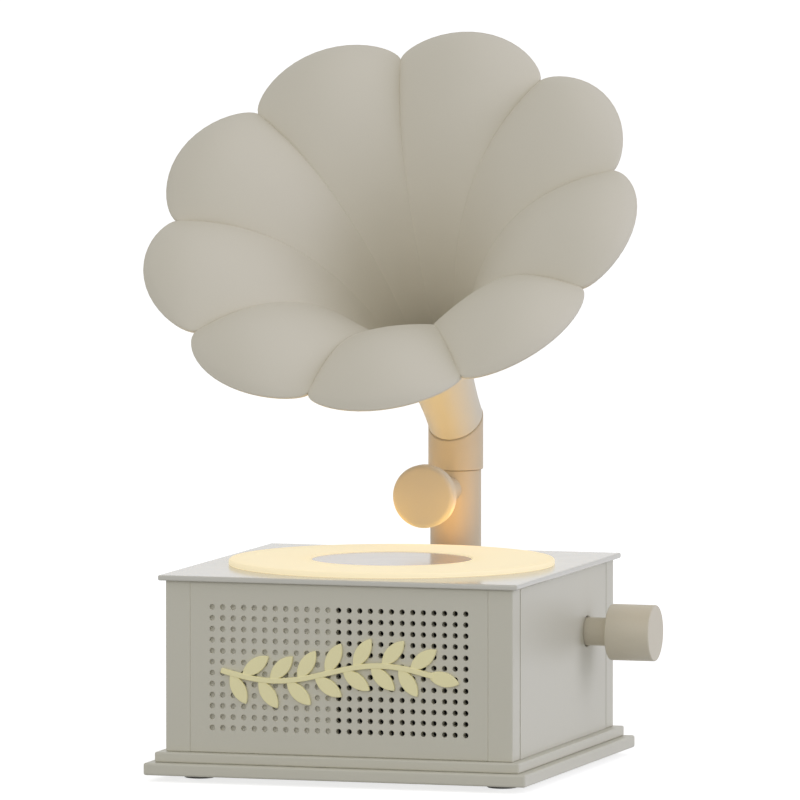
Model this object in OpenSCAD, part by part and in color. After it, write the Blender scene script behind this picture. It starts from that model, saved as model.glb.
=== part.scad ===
// Gramophone-shaped table speaker and night light, in millimetres.
// The origin is on the table plane under the middle of the box: X to the right, Y to the back, Z up.

/* [Box] */
// Width and depth of the square box
box_w = 160; // [140:1:200]
// Height of the box between plinth and top plate
box_h = 76; // [70:1:110]
// Thickness of the four panels
panel_t = 4; // [3:0.5:6]
// Width of each square corner post
post_w = 11.5; // [9:0.5:16]
// Seam between a post and a panel
seam = 0.4; // [0.2:0.1:0.8]
// Thickness of the top plate
top_t = 2.4; // [2:0.2:5]
// How far the top plate stands out past the box
top_out = 2.8; // [1:0.2:6]

/* [Plinth and feet] */
// Thickness of the lower plinth board
lower_t = 5.5; // [4.5:0.5:9]
// How far the lower plinth stands out past the box
lower_out = 8; // [6:0.5:14]
// Thickness of the upper plinth board
upper_t = 4.6; // [3.5:0.2:8]
// How far the upper plinth stands out past the box
upper_out = 4; // [2:0.5:5]
// Diameter of a foot
foot_d = 14; // [10:1:20]
// Height of a foot
foot_h = 3; // [2:0.5:6]
// Foot centre to the side edge of the lower plinth
foot_in_x = 18; // [12:1:30]
// Foot centre to the front or back edge of the lower plinth
foot_in_y = 26; // [12:1:30]

/* [Front grille] */
// Columns of holes
hole_cols = 25; // [17:1:27]
// Rows of holes
hole_rows = 12; // [8:1:13]
// Columns at the left that are only dimples
blind_cols = 12; // [4:1:12]
// Distance from hole to hole
hole_pitch = 4.87; // [4:0.01:5]
// Diameter of a hole
hole_d = 2.4; // [1.4:0.1:2.8]
// Depth of a dimple
blind_depth = 1.9; // [0.6:0.1:3]

/* [Front ornament] */
// Length of the leaf sprig
sprig_l = 98; // [80:1:104]
// Rise of the sprig's stem from its middle line
sprig_rise = 4; // [2:0.5:8]
// Width of the stem
sprig_stem = 2.4; // [1.6:0.2:4]
// Length of a leaf
leaf_l = 15; // [10:1:17]
// Width of a leaf
leaf_w = 6.5; // [4:0.5:8]
// Thickness of the ornament
sprig_t = 2; // [1.5:0.1:4]

/* [Light ring] */
// Outer diameter of the light ring
ring_d = 145.5; // [120:0.5:150]
// Diameter of the disc in the middle
label_d = 72; // [50:1:80]
// How far the ring stands up from the top plate
ring_rise = 2.5; // [1.5:0.1:5]
// How far the disc lies below the ring's face
label_drop = 0.4; // [0.2:0.1:1]
// Wall of the light ring
ring_wall = 2; // [1.5:0.1:3]
// Depth of the tray that holds the lamps
tray_h = 10; // [9:0.5:14]
// Number of light-emitting diodes
led_count = 24; // [12:1:32]

/* [Loudspeaker] */
// Outer diameter of the loudspeaker's frame
speaker_d = 52; // [40:1:53]
// Depth of the loudspeaker from flange to magnet
speaker_depth = 24; // [22:1:34]
// Diameter of the magnet
magnet_d = 32; // [24:1:36]

/* [Side knob] */
// Diameter of the knob
knob_d = 25.2; // [18:0.2:32]
// Length of the knob
knob_l = 20.6; // [12:0.2:26]
// Diameter of the knob's shaft
shaft_d = 12.6; // [10:0.2:16]
// Gap between the box and the knob
knob_gap = 11.2; // [6:0.1:20]
// Place of the knob behind the middle of the box
knob_y = 38; // [20:1:42]
// Height of the knob above the table
knob_z = 60; // [48:1:62]

/* [Column] */
// Diameter of the column tube
tube_d = 23.2; // [18:0.2:26]
// Wall of the column tube
tube_wall = 1.8; // [1.2:0.1:2.5]
// Place of the column's axis behind the middle of the box
column_back = 19.2; // [18:0.2:26]
// Height of the column tube above the top plate
tube_rise = 34.5; // [32.5:0.5:60]
// Diameter of the elbow tube on top of it
elbow_d = 25; // [21:0.2:28]
// Height above the tube at which the mitre cut crosses the column's axis
mitre_rise = 22.5; // [20:0.5:48]
// Slope of the mitre cut
mitre_deg = 35; // [20:1:40]

/* [Sound box] */
// Diameter of the sound box
sound_d = 28.6; // [22:0.2:32]
// Thickness of the sound box
sound_t = 9.6; // [6:0.2:14]
// Distance from the column's axis to the middle of the sound box
sound_reach = 49; // [44:1:56]
// Gap between the light ring and the sound box over it
sound_gap = 9.3; // [6:0.1:11]
// Diameter of the stem
stem_d = 11.6; // [8:0.2:13]

/* [Horn] */
// Length of the horn along its axis
horn_l = 138.9; // [120:0.1:170]
// Tilt of the horn's axis from upright
horn_tilt = 45.2; // [35:0.1:55]
// Radius of the mouth in the creases between petals
mouth_r = 100.5; // [80:0.5:122]
// How far a petal's tip reaches past the creases
petal_tip = 12.8; // [6:0.2:18]
// Number of petals
petals = 9; // [7:1:12]
// Wall of the horn
horn_wall = 2; // [1.6:0.1:3]
// Shape of the flare, lower opens later
flare = 0.8; // [0.7:0.01:1]
// Height of a petal's swell as a share of its half width
swell = 0.68; // [0.2:0.02:0.72]
// How far the neck stands back from the elbow's edge at the seam
neck_step = 0.3; // [0.1:0.1:1]

/* [Hidden] */
$fn = 64;
clr = 0.15;      // play around a part that drops into its seat
run = 0.08;      // play around a shaft or spigot that turns
touch = 0.05;    // line of glue or paint between two fixed parts
lap = 0.01;      // how far two shapes of one part run into each other
screw_d = 3;     // shank of the wood screws
head_d = 5.6;    // head of those screws
head_t = 1.8;    // thickness of such a head
small_d = 2.2;   // shank of the small screws
small_head = 4.2;
small_head_t = 1.4;
board_t = 1.6;   // circuit board

half = box_w / 2;
z_lower = foot_h;
z_upper = z_lower + lower_t;
z_floor = z_upper + upper_t;
z_roof = z_floor + box_h;
z_top = z_roof + top_t;
z_mid = (z_floor + z_roof) / 2;
inner = half - panel_t;
post_in = half - post_w;

column_y = half + column_back;
tube_top = z_top + tube_rise;
mitre_z = tube_top + mitre_rise;
tube_r = tube_d / 2;
elbow_r = elbow_d / 2;
bore_r = tube_r - tube_wall;

// Shared shapes

// A square slab, centred on the Z axis, from z0 upwards
module slab(w, t, z0) {
    translate([-w / 2, -w / 2, z0]) cube([w, w, t]);
}

// A block between two corners
module block(a, b) {
    translate(a) cube(b - a);
}

// A screw pointing along +Z with its head's underside at the origin
module screw(l, d = screw_d, hd = head_d, ht = head_t) {
    translate([0, 0, -ht]) cylinder(d = hd, h = ht);
    translate([0, 0, -touch]) cylinder(d = d, h = l + touch);
}

// A round part turned about the Y axis that points to the front, from a profile of [radius, depth]
module turned_y(profile) {
    rotate([-90, 0, 0]) rotate_extrude() polygon(profile);
}

// Feet and plinth

foot_x = half + lower_out - foot_in_x;
foot_y = half + lower_out - foot_in_y;
foot_round = 0.6;

module foot(sx, sy) {
    color([0.45, 0.44, 0.42]) translate([sx * foot_x, sy * foot_y, 0]) rotate_extrude() polygon([
        [0, 0], [foot_d / 2 - foot_round, 0], [foot_d / 2, foot_round], [foot_d / 2, foot_h], [0, foot_h]
    ]);
}

base_screw_at = half - post_w / 2;
base_screw_bite = 16;
base_screw_l = lower_t + upper_t - head_t + base_screw_bite;

module at_posts() {
    for (sx = [-1, 1], sy = [-1, 1]) translate([sx * base_screw_at, sy * base_screw_at, 0]) children();
}

module base_screw_holes() {
    at_posts() {
        translate([0, 0, z_lower - 1]) cylinder(d = head_d + 2 * clr, h = head_t + 1 + touch);
        translate([0, 0, z_lower]) cylinder(d = screw_d + 2 * touch, h = base_screw_l + head_t + 1);
    }
}

module lower_plinth() {
    color([0.68, 0.67, 0.61]) difference() {
        slab(box_w + 2 * lower_out, lower_t, z_lower);
        base_screw_holes();
    }
}

module upper_plinth() {
    color([0.68, 0.67, 0.61]) difference() {
        slab(box_w + 2 * upper_out, upper_t, z_upper);
        base_screw_holes();
        standoff_holes();
    }
}

module base_screws() {
    color([0.75, 0.75, 0.77]) at_posts() translate([0, 0, z_lower + head_t]) screw(base_screw_l);
}

// Corner posts, with a groove for each panel's tongue

tongue_t = panel_t / 2;
tongue_l = 2;
post_edge = 0.8;

// The post at +X +Y: its outer edge is chamfered
module post_shape() {
    difference() {
        translate([0, 0, z_floor]) linear_extrude(box_h) polygon([
            [post_in, post_in], [half, post_in], [half, half - post_edge],
            [half - post_edge, half], [post_in, half]
        ]);
        for (turn = [0, 1]) mirror([turn, -turn, 0])
            block([half - panel_t + tongue_t / 2 - touch, post_in - 1, z_floor - 1],
                  [half - tongue_t / 2 + touch, post_in + tongue_l + clr, z_roof + 1]);
        base_screw_holes();
    }
}

module post(sx, sy) {
    color([0.69, 0.68, 0.62]) mirror([sx < 0 ? 1 : 0, 0, 0]) mirror([0, sy < 0 ? 1 : 0, 0]) post_shape();
}

// A panel at the front, between the posts, with a tongue on each end
module panel_shape() {
    block([-post_in + seam, -half, z_floor + touch], [post_in - seam, -inner, z_roof - touch]);
    block([-post_in - tongue_l, -half + tongue_t / 2, z_floor + touch],
          [post_in + tongue_l, -inner - tongue_t / 2, z_roof - touch]);
}

// Front grille: through holes at the right, dimples at the left

grille_w = (hole_cols - 1) * hole_pitch;
grille_h = (hole_rows - 1) * hole_pitch;
function hole_x(c) = -grille_w / 2 + c * hole_pitch;
function hole_z(r) = z_mid - grille_h / 2 + r * hole_pitch;
speaker_x = (hole_x(blind_cols) + hole_x(hole_cols - 1)) / 2;

module front_grille() {
    color([0.66, 0.65, 0.6]) difference() {
        panel_shape();
        for (c = [0 : hole_cols - 1], r = [0 : hole_rows - 1])
            translate([hole_x(c), -half - 1, hole_z(r)]) rotate([-90, 0, 0])
                cylinder(d = hole_d, h = 1 + (c < blind_cols ? blind_depth : panel_t + 1), $fn = 16);
        speaker_screw_holes();
    }
}

module left_panel() {
    color([0.72, 0.71, 0.66]) rotate([0, 0, -90]) panel_shape();
}

module right_panel() {
    color([0.74, 0.74, 0.71]) difference() {
        rotate([0, 0, 90]) panel_shape();
        translate([inner - 1, knob_y, knob_z]) rotate([0, 90, 0]) cylinder(r = shaft_hole_r, h = panel_t + 2);
        encoder_at() encoder_screw_holes();
    }
}

module back_panel() {
    color([0.68, 0.67, 0.61]) difference() {
        rotate([0, 0, 180]) panel_shape();
        bracket_screw_holes();
        usb_shape(clr + 0.1, 1);
    }
}

module top_plate() {
    color([0.88, 0.88, 0.87]) difference() {
        slab(box_w + 2 * top_out, top_t, z_roof);
        translate([0, 0, z_roof - 1]) cylinder(r = ring_neck_r + clr, h = top_t + 2, $fn = 128);
        tray_screw_holes();
    }
}

// Ornament on the front: a plain sprig of leaves in place of lettering

sprig_steps = 32;
leaf_count = 7;
sprig_drop = 1;

function sprig_pt(u) = [u * sprig_l / 2, sprig_rise * sin(180 * u)];
function sprig_deg(u) = atan2(sprig_rise * PI * cos(180 * u), sprig_l / 2);

module leaf() {
    // Two equal arcs that meet in points at both ends
    arc_r = (leaf_l * leaf_l / 4 + leaf_w * leaf_w / 4) / leaf_w;
    translate([leaf_l / 2, 0]) intersection() {
        translate([0, arc_r - leaf_w / 2]) circle(arc_r);
        translate([0, leaf_w / 2 - arc_r]) circle(arc_r);
    }
}

module sprig_outline() {
    side = [for (k = [0 : sprig_steps]) let (u = 2 * k / sprig_steps - 1) [sprig_pt(u), sprig_deg(u)]];
    up = [for (s = side) s[0] + sprig_stem / 2 * [-sin(s[1]), cos(s[1])]];
    down = [for (k = [sprig_steps : -1 : 0]) side[k][0] - sprig_stem / 2 * [-sin(side[k][1]), cos(side[k][1])]];
    polygon(concat(up, down));
    for (k = [0 : leaf_count - 1], s = [-1, 1]) {
        u = -0.86 + 1.58 * (k + 0.2 * s) / (leaf_count - 1);
        translate(sprig_pt(u)) rotate(sprig_deg(u) + s * 48) translate([0.4, 0]) leaf();
    }
    translate(sprig_pt(0.94)) rotate(sprig_deg(1)) leaf();
}

module front_ornament() {
    color([0.83, 0.79, 0.6]) translate([-sprig_drop - leaf_l / 4, -half - touch, z_mid - sprig_drop])
        rotate([90, 0, 0]) linear_extrude(sprig_t) sprig_outline();
}

// Loudspeaker behind the open half of the grille

cloth_t = 0.4;
gasket_t = 2;
flange_t = 1.6;
basket_wall = 1.2;
speaker_r = speaker_d / 2;
seat_y = -inner + cloth_t + gasket_t + 2 * touch;
cone_in = 0.3;
cone_r = speaker_r - 10;
cone_t = 0.6;
roll_r = 1.6;
roll_edge = 0.8;
lip_r = cone_r + 2 * roll_r + roll_edge;
coil_r = magnet_d / 4;
coil_t = 0.35;
coil_gap = 1.6;
magnet_t = 8;
yoke_t = 3;
neck_y = speaker_depth - magnet_t - yoke_t;
speaker_screw_r = speaker_r - 2.4;
speaker_screw_d = 2;
window_w = 7;

module at_speaker(depth = 0) {
    translate([speaker_x, seat_y + depth, z_mid]) children();
}

module at_speaker_screws() {
    for (k = [0 : 3]) at_speaker() rotate([0, 45 + 90 * k, 0]) translate([speaker_screw_r, 0, 0]) children();
}

module speaker_screw_holes() {
    at_speaker_screws() translate([0, -cloth_t - gasket_t - 3, 0]) rotate([-90, 0, 0])
        cylinder(d = speaker_screw_d + 2 * touch, h = cloth_t + gasket_t + 3 + flange_t + 1, $fn = 24);
}

module grille_cloth() {
    edge = hole_pitch * 0.7;
    color([0.08, 0.08, 0.08]) difference() {
        block([hole_x(blind_cols) - edge, -inner + touch, hole_z(0) - edge],
              [hole_x(hole_cols - 1) + edge, -inner + touch + cloth_t, hole_z(hole_rows - 1) + edge]);
        speaker_screw_holes();
    }
}

module speaker_gasket() {
    color([0.15, 0.15, 0.15]) difference() {
        at_speaker(-gasket_t) turned_y([
            [lip_r, 0], [speaker_r, 0], [speaker_r, gasket_t - touch], [lip_r, gasket_t - touch]
        ]);
        speaker_screw_holes();
    }
}

// Flange, sloping wall and the seat for the magnet
module speaker_basket() {
    neck = magnet_d / 2 - 2;
    color([0.2, 0.2, 0.21]) difference() {
        at_speaker() turned_y([
            [lip_r, 0], [speaker_r, 0], [speaker_r, flange_t], [lip_r + basket_wall, flange_t],
            [neck + basket_wall, neck_y - basket_wall], [neck + basket_wall, neck_y],
            [coil_r + coil_gap, neck_y], [coil_r + coil_gap, neck_y - basket_wall], [neck, neck_y - basket_wall],
            [lip_r, flange_t]
        ]);
        speaker_screw_holes();
        at_speaker() for (k = [0 : 5]) rotate([0, 60 * k, 0])
            translate([neck - 1, neck_y * 0.4, -window_w / 2]) cube([speaker_r - neck, neck_y / 3, window_w]);
    }
}

module speaker_screws() {
    color([0.7, 0.7, 0.72]) at_speaker_screws() translate([0, flange_t, 0]) rotate([90, 0, 0])
        screw(flange_t + gasket_t + cloth_t + 2.4, speaker_screw_d, 3.8, 1.2, $fn = 24);
}

// Rubber roll between the flange and the cone
module speaker_surround() {
    color([0.12, 0.12, 0.12]) at_speaker(cone_in) rotate([-90, 0, 0]) rotate_extrude()
        translate([cone_r + touch + roll_r, 0]) {
            difference() {
                circle(roll_r, $fn = 32);
                circle(roll_r - cone_t, $fn = 32);
                translate([-2 * roll_r, lap]) square([4 * roll_r, 2 * roll_r]);
            }
            translate([roll_r - cone_t, 0]) square([cone_t + roll_edge - 2 * touch, cone_t]);
        }
}

cone_depth = neck_y * 0.45;
cone_rim = 1.4;
coil_lip = 0.4;

// A flat rim for the roll and a slope down to the coil, with one wall all along
module speaker_cone() {
    lip = [cone_r - cone_rim, 0];
    foot = [coil_r + coil_t + touch, cone_depth];
    slope = (foot - lip) / norm(foot - lip);
    wall = cone_t * [slope[1], -slope[0]];
    // The slope's far side meets the rim's far side here
    bend = lip + wall + slope * (cone_t - wall[1]) / slope[1];
    color([0.25, 0.25, 0.26]) at_speaker(cone_in)
        turned_y([lip, [cone_r, 0], [cone_r, cone_t], bend, foot + wall, foot]);
}

module voice_coil() {
    color([0.72, 0.45, 0.2]) at_speaker(cone_in) turned_y([
        [coil_r, cone_depth - coil_lip], [coil_r + coil_t, cone_depth - coil_lip],
        [coil_r + coil_t, neck_y + magnet_t * 0.3], [coil_r, neck_y + magnet_t * 0.3]
    ]);
}

module dust_cap() {
    rise = 2.2;
    dome_r = (coil_r * coil_r + rise * rise) / (2 * rise);
    color([0.18, 0.18, 0.19]) at_speaker(cone_in + cone_depth - coil_lip - touch) rotate([90, 0, 0])
        intersection() {
            difference() {
                translate([0, 0, rise - dome_r]) sphere(dome_r);
                translate([0, 0, rise - dome_r]) sphere(dome_r - cone_t);
            }
            cylinder(r = coil_r + coil_t, h = rise + 1);
        }
}

module speaker_magnet() {
    color([0.3, 0.3, 0.32]) at_speaker(neck_y + touch) turned_y([
        [coil_r + coil_gap, 0], [magnet_d / 2, 0], [magnet_d / 2, magnet_t - touch],
        [coil_r + coil_gap, magnet_t - touch]
    ]);
}

// Back plate with the pole that stands inside the coil
module speaker_yoke() {
    pole_r = coil_r - 0.6;
    color([0.62, 0.62, 0.64]) at_speaker(neck_y) turned_y([
        [0, -1], [pole_r, -1], [pole_r, magnet_t + touch], [magnet_d / 2 - 1, magnet_t + touch],
        [magnet_d / 2 - 1, magnet_t + yoke_t], [0, magnet_t + yoke_t]
    ]);
}

// Light ring in the top plate, with its tray, lamps and the disc in the middle

ring_r = ring_d / 2;
label_r = label_d / 2;
ring_brim = 2.8;
ring_edge = 0.5;
ring_ledge = 0.9;
ring_neck_r = ring_r - ring_brim;
tray_wall = 2;
tray_gap = 1.6;
tray_r = ring_neck_r + tray_gap + tray_wall;
tray_z = z_roof - tray_h;
ring_z = z_top + ring_rise;
label_t = 1.5;
label_play = 0.2;
label_edge = 0.3;
hub_top = ring_z - label_drop - label_t;
tray_screw_in = 13.5;
tray_screw_at = half - post_w - tray_screw_in;
flange_edge = 6;
hub_r = label_r - 1;
hub_bore = hub_r - tray_wall;
pad_h = 2;
pad_r = 3;
lead_d = 5;
led_board_z = tray_z + tray_wall + pad_h;
led_board_w = 20;
led_r = (ring_neck_r + label_r) / 2;
led_w = 5;
led_t = 1.6;

module at_tray_screws() {
    for (sx = [-1, 1], sy = [-1, 1]) translate([sx * tray_screw_at, sy * tray_screw_at, 0]) children();
}

module tray_screw_holes() {
    at_tray_screws() translate([0, 0, z_roof - tray_wall - 1])
        cylinder(d = small_d + 2 * touch, h = tray_wall + 1 + top_t * 0.7, $fn = 24);
}

// Round tray with a flange, a hub that carries the disc and pads under the lamp board
module light_tray() {
    flange_r = tray_screw_at * sqrt(2) + flange_edge;
    color([0.93, 0.93, 0.92]) difference() {
        union() {
            intersection() {
                translate([0, 0, z_roof - tray_wall - touch]) cylinder(r = flange_r, h = tray_wall);
                slab(2 * (inner - 0.5), tray_wall + 2, z_roof - tray_wall - 1);
            }
            difference() {
                translate([0, 0, tray_z]) cylinder(r = tray_r, h = tray_h - touch, $fn = 128);
                translate([0, 0, tray_z + tray_wall]) cylinder(r = tray_r - tray_wall, h = tray_h, $fn = 128);
            }
            for (k = [0 : 5]) rotate(30 + 60 * k) translate([led_r, 0, tray_z + tray_wall - lap])
                cylinder(r = pad_r, h = pad_h + lap - touch, $fn = 24);
        }
        translate([0, 0, led_board_z]) cylinder(r = tray_r - tray_wall, h = tray_h, $fn = 128);
        translate([0, 0, tray_z - 1]) cylinder(r = hub_bore, h = tray_h + 2);
        tray_screw_holes();
        lead_hole();
    }
    color([0.93, 0.93, 0.92]) translate([0, 0, tray_z + tray_wall - lap]) difference() {
        cylinder(r = hub_r, h = hub_top - tray_z - tray_wall + lap - touch);
        translate([0, 0, -1]) cylinder(r = hub_bore, h = hub_top - tray_z + 2);
    }
}

// Hole in the tray's floor for the lamp leads
module lead_hole() {
    rotate(-120) translate([hub_r + 4, 0, tray_z - 1]) cylinder(d = lead_d, h = tray_wall + 2, $fn = 24);
}

module tray_screws() {
    color([0.75, 0.75, 0.77]) at_tray_screws() translate([0, 0, z_roof - tray_wall - touch])
        screw(tray_wall + top_t * 0.6, small_d, small_head, small_head_t, $fn = 24);
}

module led_board() {
    color([0.9, 0.9, 0.88]) difference() {
        translate([0, 0, led_board_z]) cylinder(r = led_r + led_board_w / 2, h = board_t, $fn = 96);
        translate([0, 0, led_board_z - 1]) cylinder(r = led_r - led_board_w / 2, h = board_t + 2, $fn = 96);
    }
}

module led_chips() {
    color([0.98, 0.93, 0.7]) for (k = [0 : led_count - 1]) rotate(360 * k / led_count)
        translate([led_r - led_w / 2, -led_w / 2, led_board_z + board_t + touch]) cube([led_w, led_w, led_t]);
}

// Diffuser: it drops through the top plate and its brim rests on it
module light_ring() {
    color([1, 0.9, 0.68]) rotate_extrude($fn = 128) polygon([
        [label_r - ring_ledge, z_roof], [label_r + ring_wall, z_roof], [label_r + ring_wall, ring_z - ring_wall],
        [ring_neck_r - ring_wall, ring_z - ring_wall], [ring_neck_r - ring_wall, z_roof],
        [ring_neck_r, z_roof], [ring_neck_r, z_top + touch], [ring_r, z_top + touch],
        [ring_r, ring_z - ring_edge], [ring_r - ring_edge, ring_z], [label_r + clr, ring_z],
        [label_r + clr, hub_top - 2 * touch], [label_r - ring_ledge, hub_top - 2 * touch]
    ]);
}

module label_disc() {
    r = label_r - label_play;
    color([0.8, 0.79, 0.78]) translate([0, 0, hub_top]) rotate_extrude($fn = 96)
        polygon([[0, 0], [r, 0], [r, label_t - label_edge], [r - label_edge, label_t], [0, label_t]]);
}

// Side knob: knob, shaft and the encoder that it turns

shaft_play = 0.6;
shaft_hole_r = shaft_d / 2 + shaft_play;
spindle_r = 3;
encoder_w = 12.5;
encoder_t = 7;
encoder_gap = 0.6;
cup_t = 2;
cup_w = shaft_d + 6.8;
cup_deep = 14;
ear_w = 12;
ear_l = 10;
ear_screw = cup_w / 2 + ear_l * 0.55;
encoder_x = inner - cup_deep;
spindle_l = 12;
spindle_in = 1.8;
blind_gap = 0.3;
knob_round = 0.7;

module encoder_at() {
    translate([encoder_x, knob_y, knob_z]) children();
}

module encoder_screw_holes() {
    for (s = [-1, 1]) translate([cup_deep - cup_t - 1, 0, s * ear_screw]) rotate([0, 90, 0])
        cylinder(d = small_d + 2 * touch, h = cup_t + 1 + panel_t * 0.7, $fn = 24);
}

// Cup on the inside of the panel, with two ears
module encoder_bracket() {
    color([0.85, 0.85, 0.83]) encoder_at() difference() {
        union() {
            block([0, -cup_w / 2 - cup_t, -cup_w / 2 - cup_t],
                  [cup_deep - touch, cup_w / 2 + cup_t, cup_w / 2 + cup_t]);
            block([cup_deep - cup_t, -ear_w / 2, -cup_w / 2 - ear_l],
                  [cup_deep - touch, ear_w / 2, cup_w / 2 + ear_l]);
        }
        block([cup_t, -cup_w / 2, -cup_w / 2], [cup_deep + 1, cup_w / 2, cup_w / 2]);
        block([-1, -lead_d / 2, -lead_d / 2], [cup_t + 1, lead_d / 2, lead_d / 2]);
        encoder_screw_holes();
    }
}

module encoder_screws() {
    color([0.75, 0.75, 0.77]) encoder_at() for (s = [-1, 1])
        translate([cup_deep - cup_t - touch, 0, s * ear_screw]) rotate([0, 90, 0])
            screw(cup_t + panel_t * 0.6, small_d, small_head, small_head_t, $fn = 24);
}

module encoder_body() {
    color([0.25, 0.4, 0.3]) encoder_at() difference() {
        block([cup_t + touch, -encoder_w / 2, -encoder_w / 2], [cup_t + encoder_t, encoder_w / 2, encoder_w / 2]);
        translate([cup_t + 1.5, 0, 0]) rotate([0, 90, 0]) cylinder(r = spindle_r + run, h = encoder_t);
    }
}

module encoder_spindle() {
    color([0.78, 0.78, 0.8]) encoder_at() translate([cup_t + spindle_in, 0, 0]) rotate([0, 90, 0])
        cylinder(r = spindle_r, h = encoder_t + spindle_l);
}

shaft_x0 = encoder_x + cup_t + encoder_t + encoder_gap;
knob_x0 = half + knob_gap;
spindle_end = encoder_x + cup_t + spindle_in + encoder_t + spindle_l;
tenon_r = shaft_d / 2 - 2;
tenon_l = 6;

module knob_shaft() {
    color([0.7, 0.68, 0.62]) translate([0, knob_y, knob_z]) rotate([0, 90, 0]) difference() {
        union() {
            translate([0, 0, shaft_x0]) cylinder(d = shaft_d, h = knob_x0 - shaft_x0 - touch);
            translate([0, 0, knob_x0 - 1]) cylinder(r = tenon_r, h = tenon_l + 1);
        }
        translate([0, 0, shaft_x0 - 1])
            cylinder(r = spindle_r + touch, h = spindle_end - shaft_x0 + 1 + blind_gap);
    }
}

module side_knob() {
    r = knob_d / 2 - knob_round;
    color([0.7, 0.68, 0.61]) translate([knob_x0, knob_y, knob_z]) rotate([0, 90, 0])
        rotate_extrude() polygon(concat(
            [[tenon_r + touch, 0], [r, 0]],
            [for (a = [30, 60, 90]) [r + knob_round * sin(a), knob_round - knob_round * cos(a)]],
            [for (a = [0, 30, 60, 90]) [r + knob_round * cos(a), knob_l - knob_round + knob_round * sin(a)]],
            [[0, knob_l], [0, tenon_l + blind_gap], [tenon_r + touch, tenon_l + blind_gap]]
        ));
}

// Circuit board, power inlet and battery on the floor of the box

board_w = 78;
board_d = 50;
board_x = 24;
board_gap = 0.8;
board_back = inner - board_gap;
standoff_h = 6;
standoff_d = 6;
stud_d = 3;
stud_l = 2.8;
board_z = z_floor + standoff_h;
standoff_in = 4;
usb_w = 9;
usb_h = 3.3;
usb_l = 7.4;
usb_x = 44;

function board_corner(sx, sy) = [
    board_x + sx * (board_w / 2 - standoff_in),
    board_back - board_d / 2 + sy * (board_d / 2 - standoff_in)
];

module at_standoffs() {
    for (sx = [-1, 1], sy = [-1, 1]) translate(concat(board_corner(sx, sy), [0])) children();
}

module standoff_holes() {
    at_standoffs() translate([0, 0, z_floor - stud_l - 0.2])
        cylinder(d = stud_d + 2 * touch, h = stud_l + 1, $fn = 24);
}

module board_standoffs() {
    color([0.8, 0.65, 0.3]) at_standoffs() difference() {
        union() {
            translate([0, 0, z_floor + touch]) cylinder(d = standoff_d, h = standoff_h - 2 * touch, $fn = 24);
            translate([0, 0, z_floor - stud_l]) cylinder(d = stud_d, h = stud_l + 0.2, $fn = 24);
        }
        translate([0, 0, board_z - 4]) cylinder(d = small_d + 2 * touch, h = 5, $fn = 24);
    }
}

module main_board() {
    color([0.1, 0.35, 0.2]) difference() {
        block([board_x - board_w / 2, board_back - board_d, board_z],
              [board_x + board_w / 2, board_back, board_z + board_t]);
        at_standoffs() translate([0, 0, board_z - 1]) cylinder(d = small_d + 0.4, h = board_t + 2, $fn = 24);
    }
}

module board_screws() {
    color([0.75, 0.75, 0.77]) at_standoffs() translate([0, 0, board_z + board_t + touch]) rotate([180, 0, 0])
        screw(board_t + 3, small_d, small_head, small_head_t, $fn = 24);
}

// Radio module, amplifier, coil and two capacitors
module board_parts() {
    z0 = board_z + board_t + touch;
    y0 = board_back - board_d;
    color([0.7, 0.7, 0.72]) block([board_x - 30, y0 + 8, z0], [board_x - 12, y0 + 32, z0 + 2.4]);
    color([0.1, 0.1, 0.1]) block([board_x - 2, y0 + 12, z0], [board_x + 6, y0 + 20, z0 + 1.2]);
    color([0.3, 0.3, 0.32]) translate([board_x + 16, y0 + 16, z0]) cylinder(d = 9, h = 5);
    color([0.15, 0.2, 0.4]) for (k = [0, 1])
        translate([board_x + 10 + 10 * k, y0 + 30, z0]) cylinder(d = 6.3, h = 9);
}

// The inlet's shell, also used a little larger to cut its hole
module usb_shape(grow = 0, past = 0) {
    r = usb_h / 2;
    z0 = board_z + board_t + touch + r;
    translate([usb_x, half - 1 - usb_l, z0]) rotate([-90, 0, 0]) linear_extrude(usb_l + past * 3) {
        square([usb_w - usb_h, usb_h + 2 * grow], center = true);
        for (s = [-1, 1]) translate([s * (usb_w - usb_h) / 2, 0]) circle(r + grow, $fn = 32);
    }
}

module usb_socket() {
    r = usb_h / 2;
    z0 = board_z + board_t + touch + r;
    color([0.78, 0.78, 0.8]) difference() {
        usb_shape();
        translate([usb_x, half - usb_l, z0]) rotate([-90, 0, 0]) linear_extrude(usb_l) {
            square([usb_w - usb_h, usb_h - 0.6], center = true);
            for (s = [-1, 1]) translate([s * (usb_w - usb_h) / 2, 0]) circle(r - 0.3, $fn = 32);
        }
    }
    color([0.1, 0.1, 0.1])
        block([usb_x - 3, half - usb_l - touch - 0.2, z0 - 0.35], [usb_x + 3, half - 2.5, z0 + 0.35]);
}

cell_d = 18.4;
cell_l = 65;
cell_x = -42;
cell_y = 12;
cell_play = 0.4;
cradle_floor = 2.5;
cradle_wall = 2;
cell_z = z_floor + cradle_floor + cell_d / 2;

module battery_cell() {
    color([0.25, 0.45, 0.6]) translate([cell_x, cell_y - cell_l / 2, cell_z]) rotate([-90, 0, 0])
        rotate_extrude() polygon([
            [0, 0], [cell_d / 2 - 0.8, 0], [cell_d / 2, 0.8], [cell_d / 2, cell_l - 0.8],
            [cell_d / 2 - 0.8, cell_l], [3, cell_l], [3, cell_l + 1.2], [0, cell_l + 1.2]
        ]);
}

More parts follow.
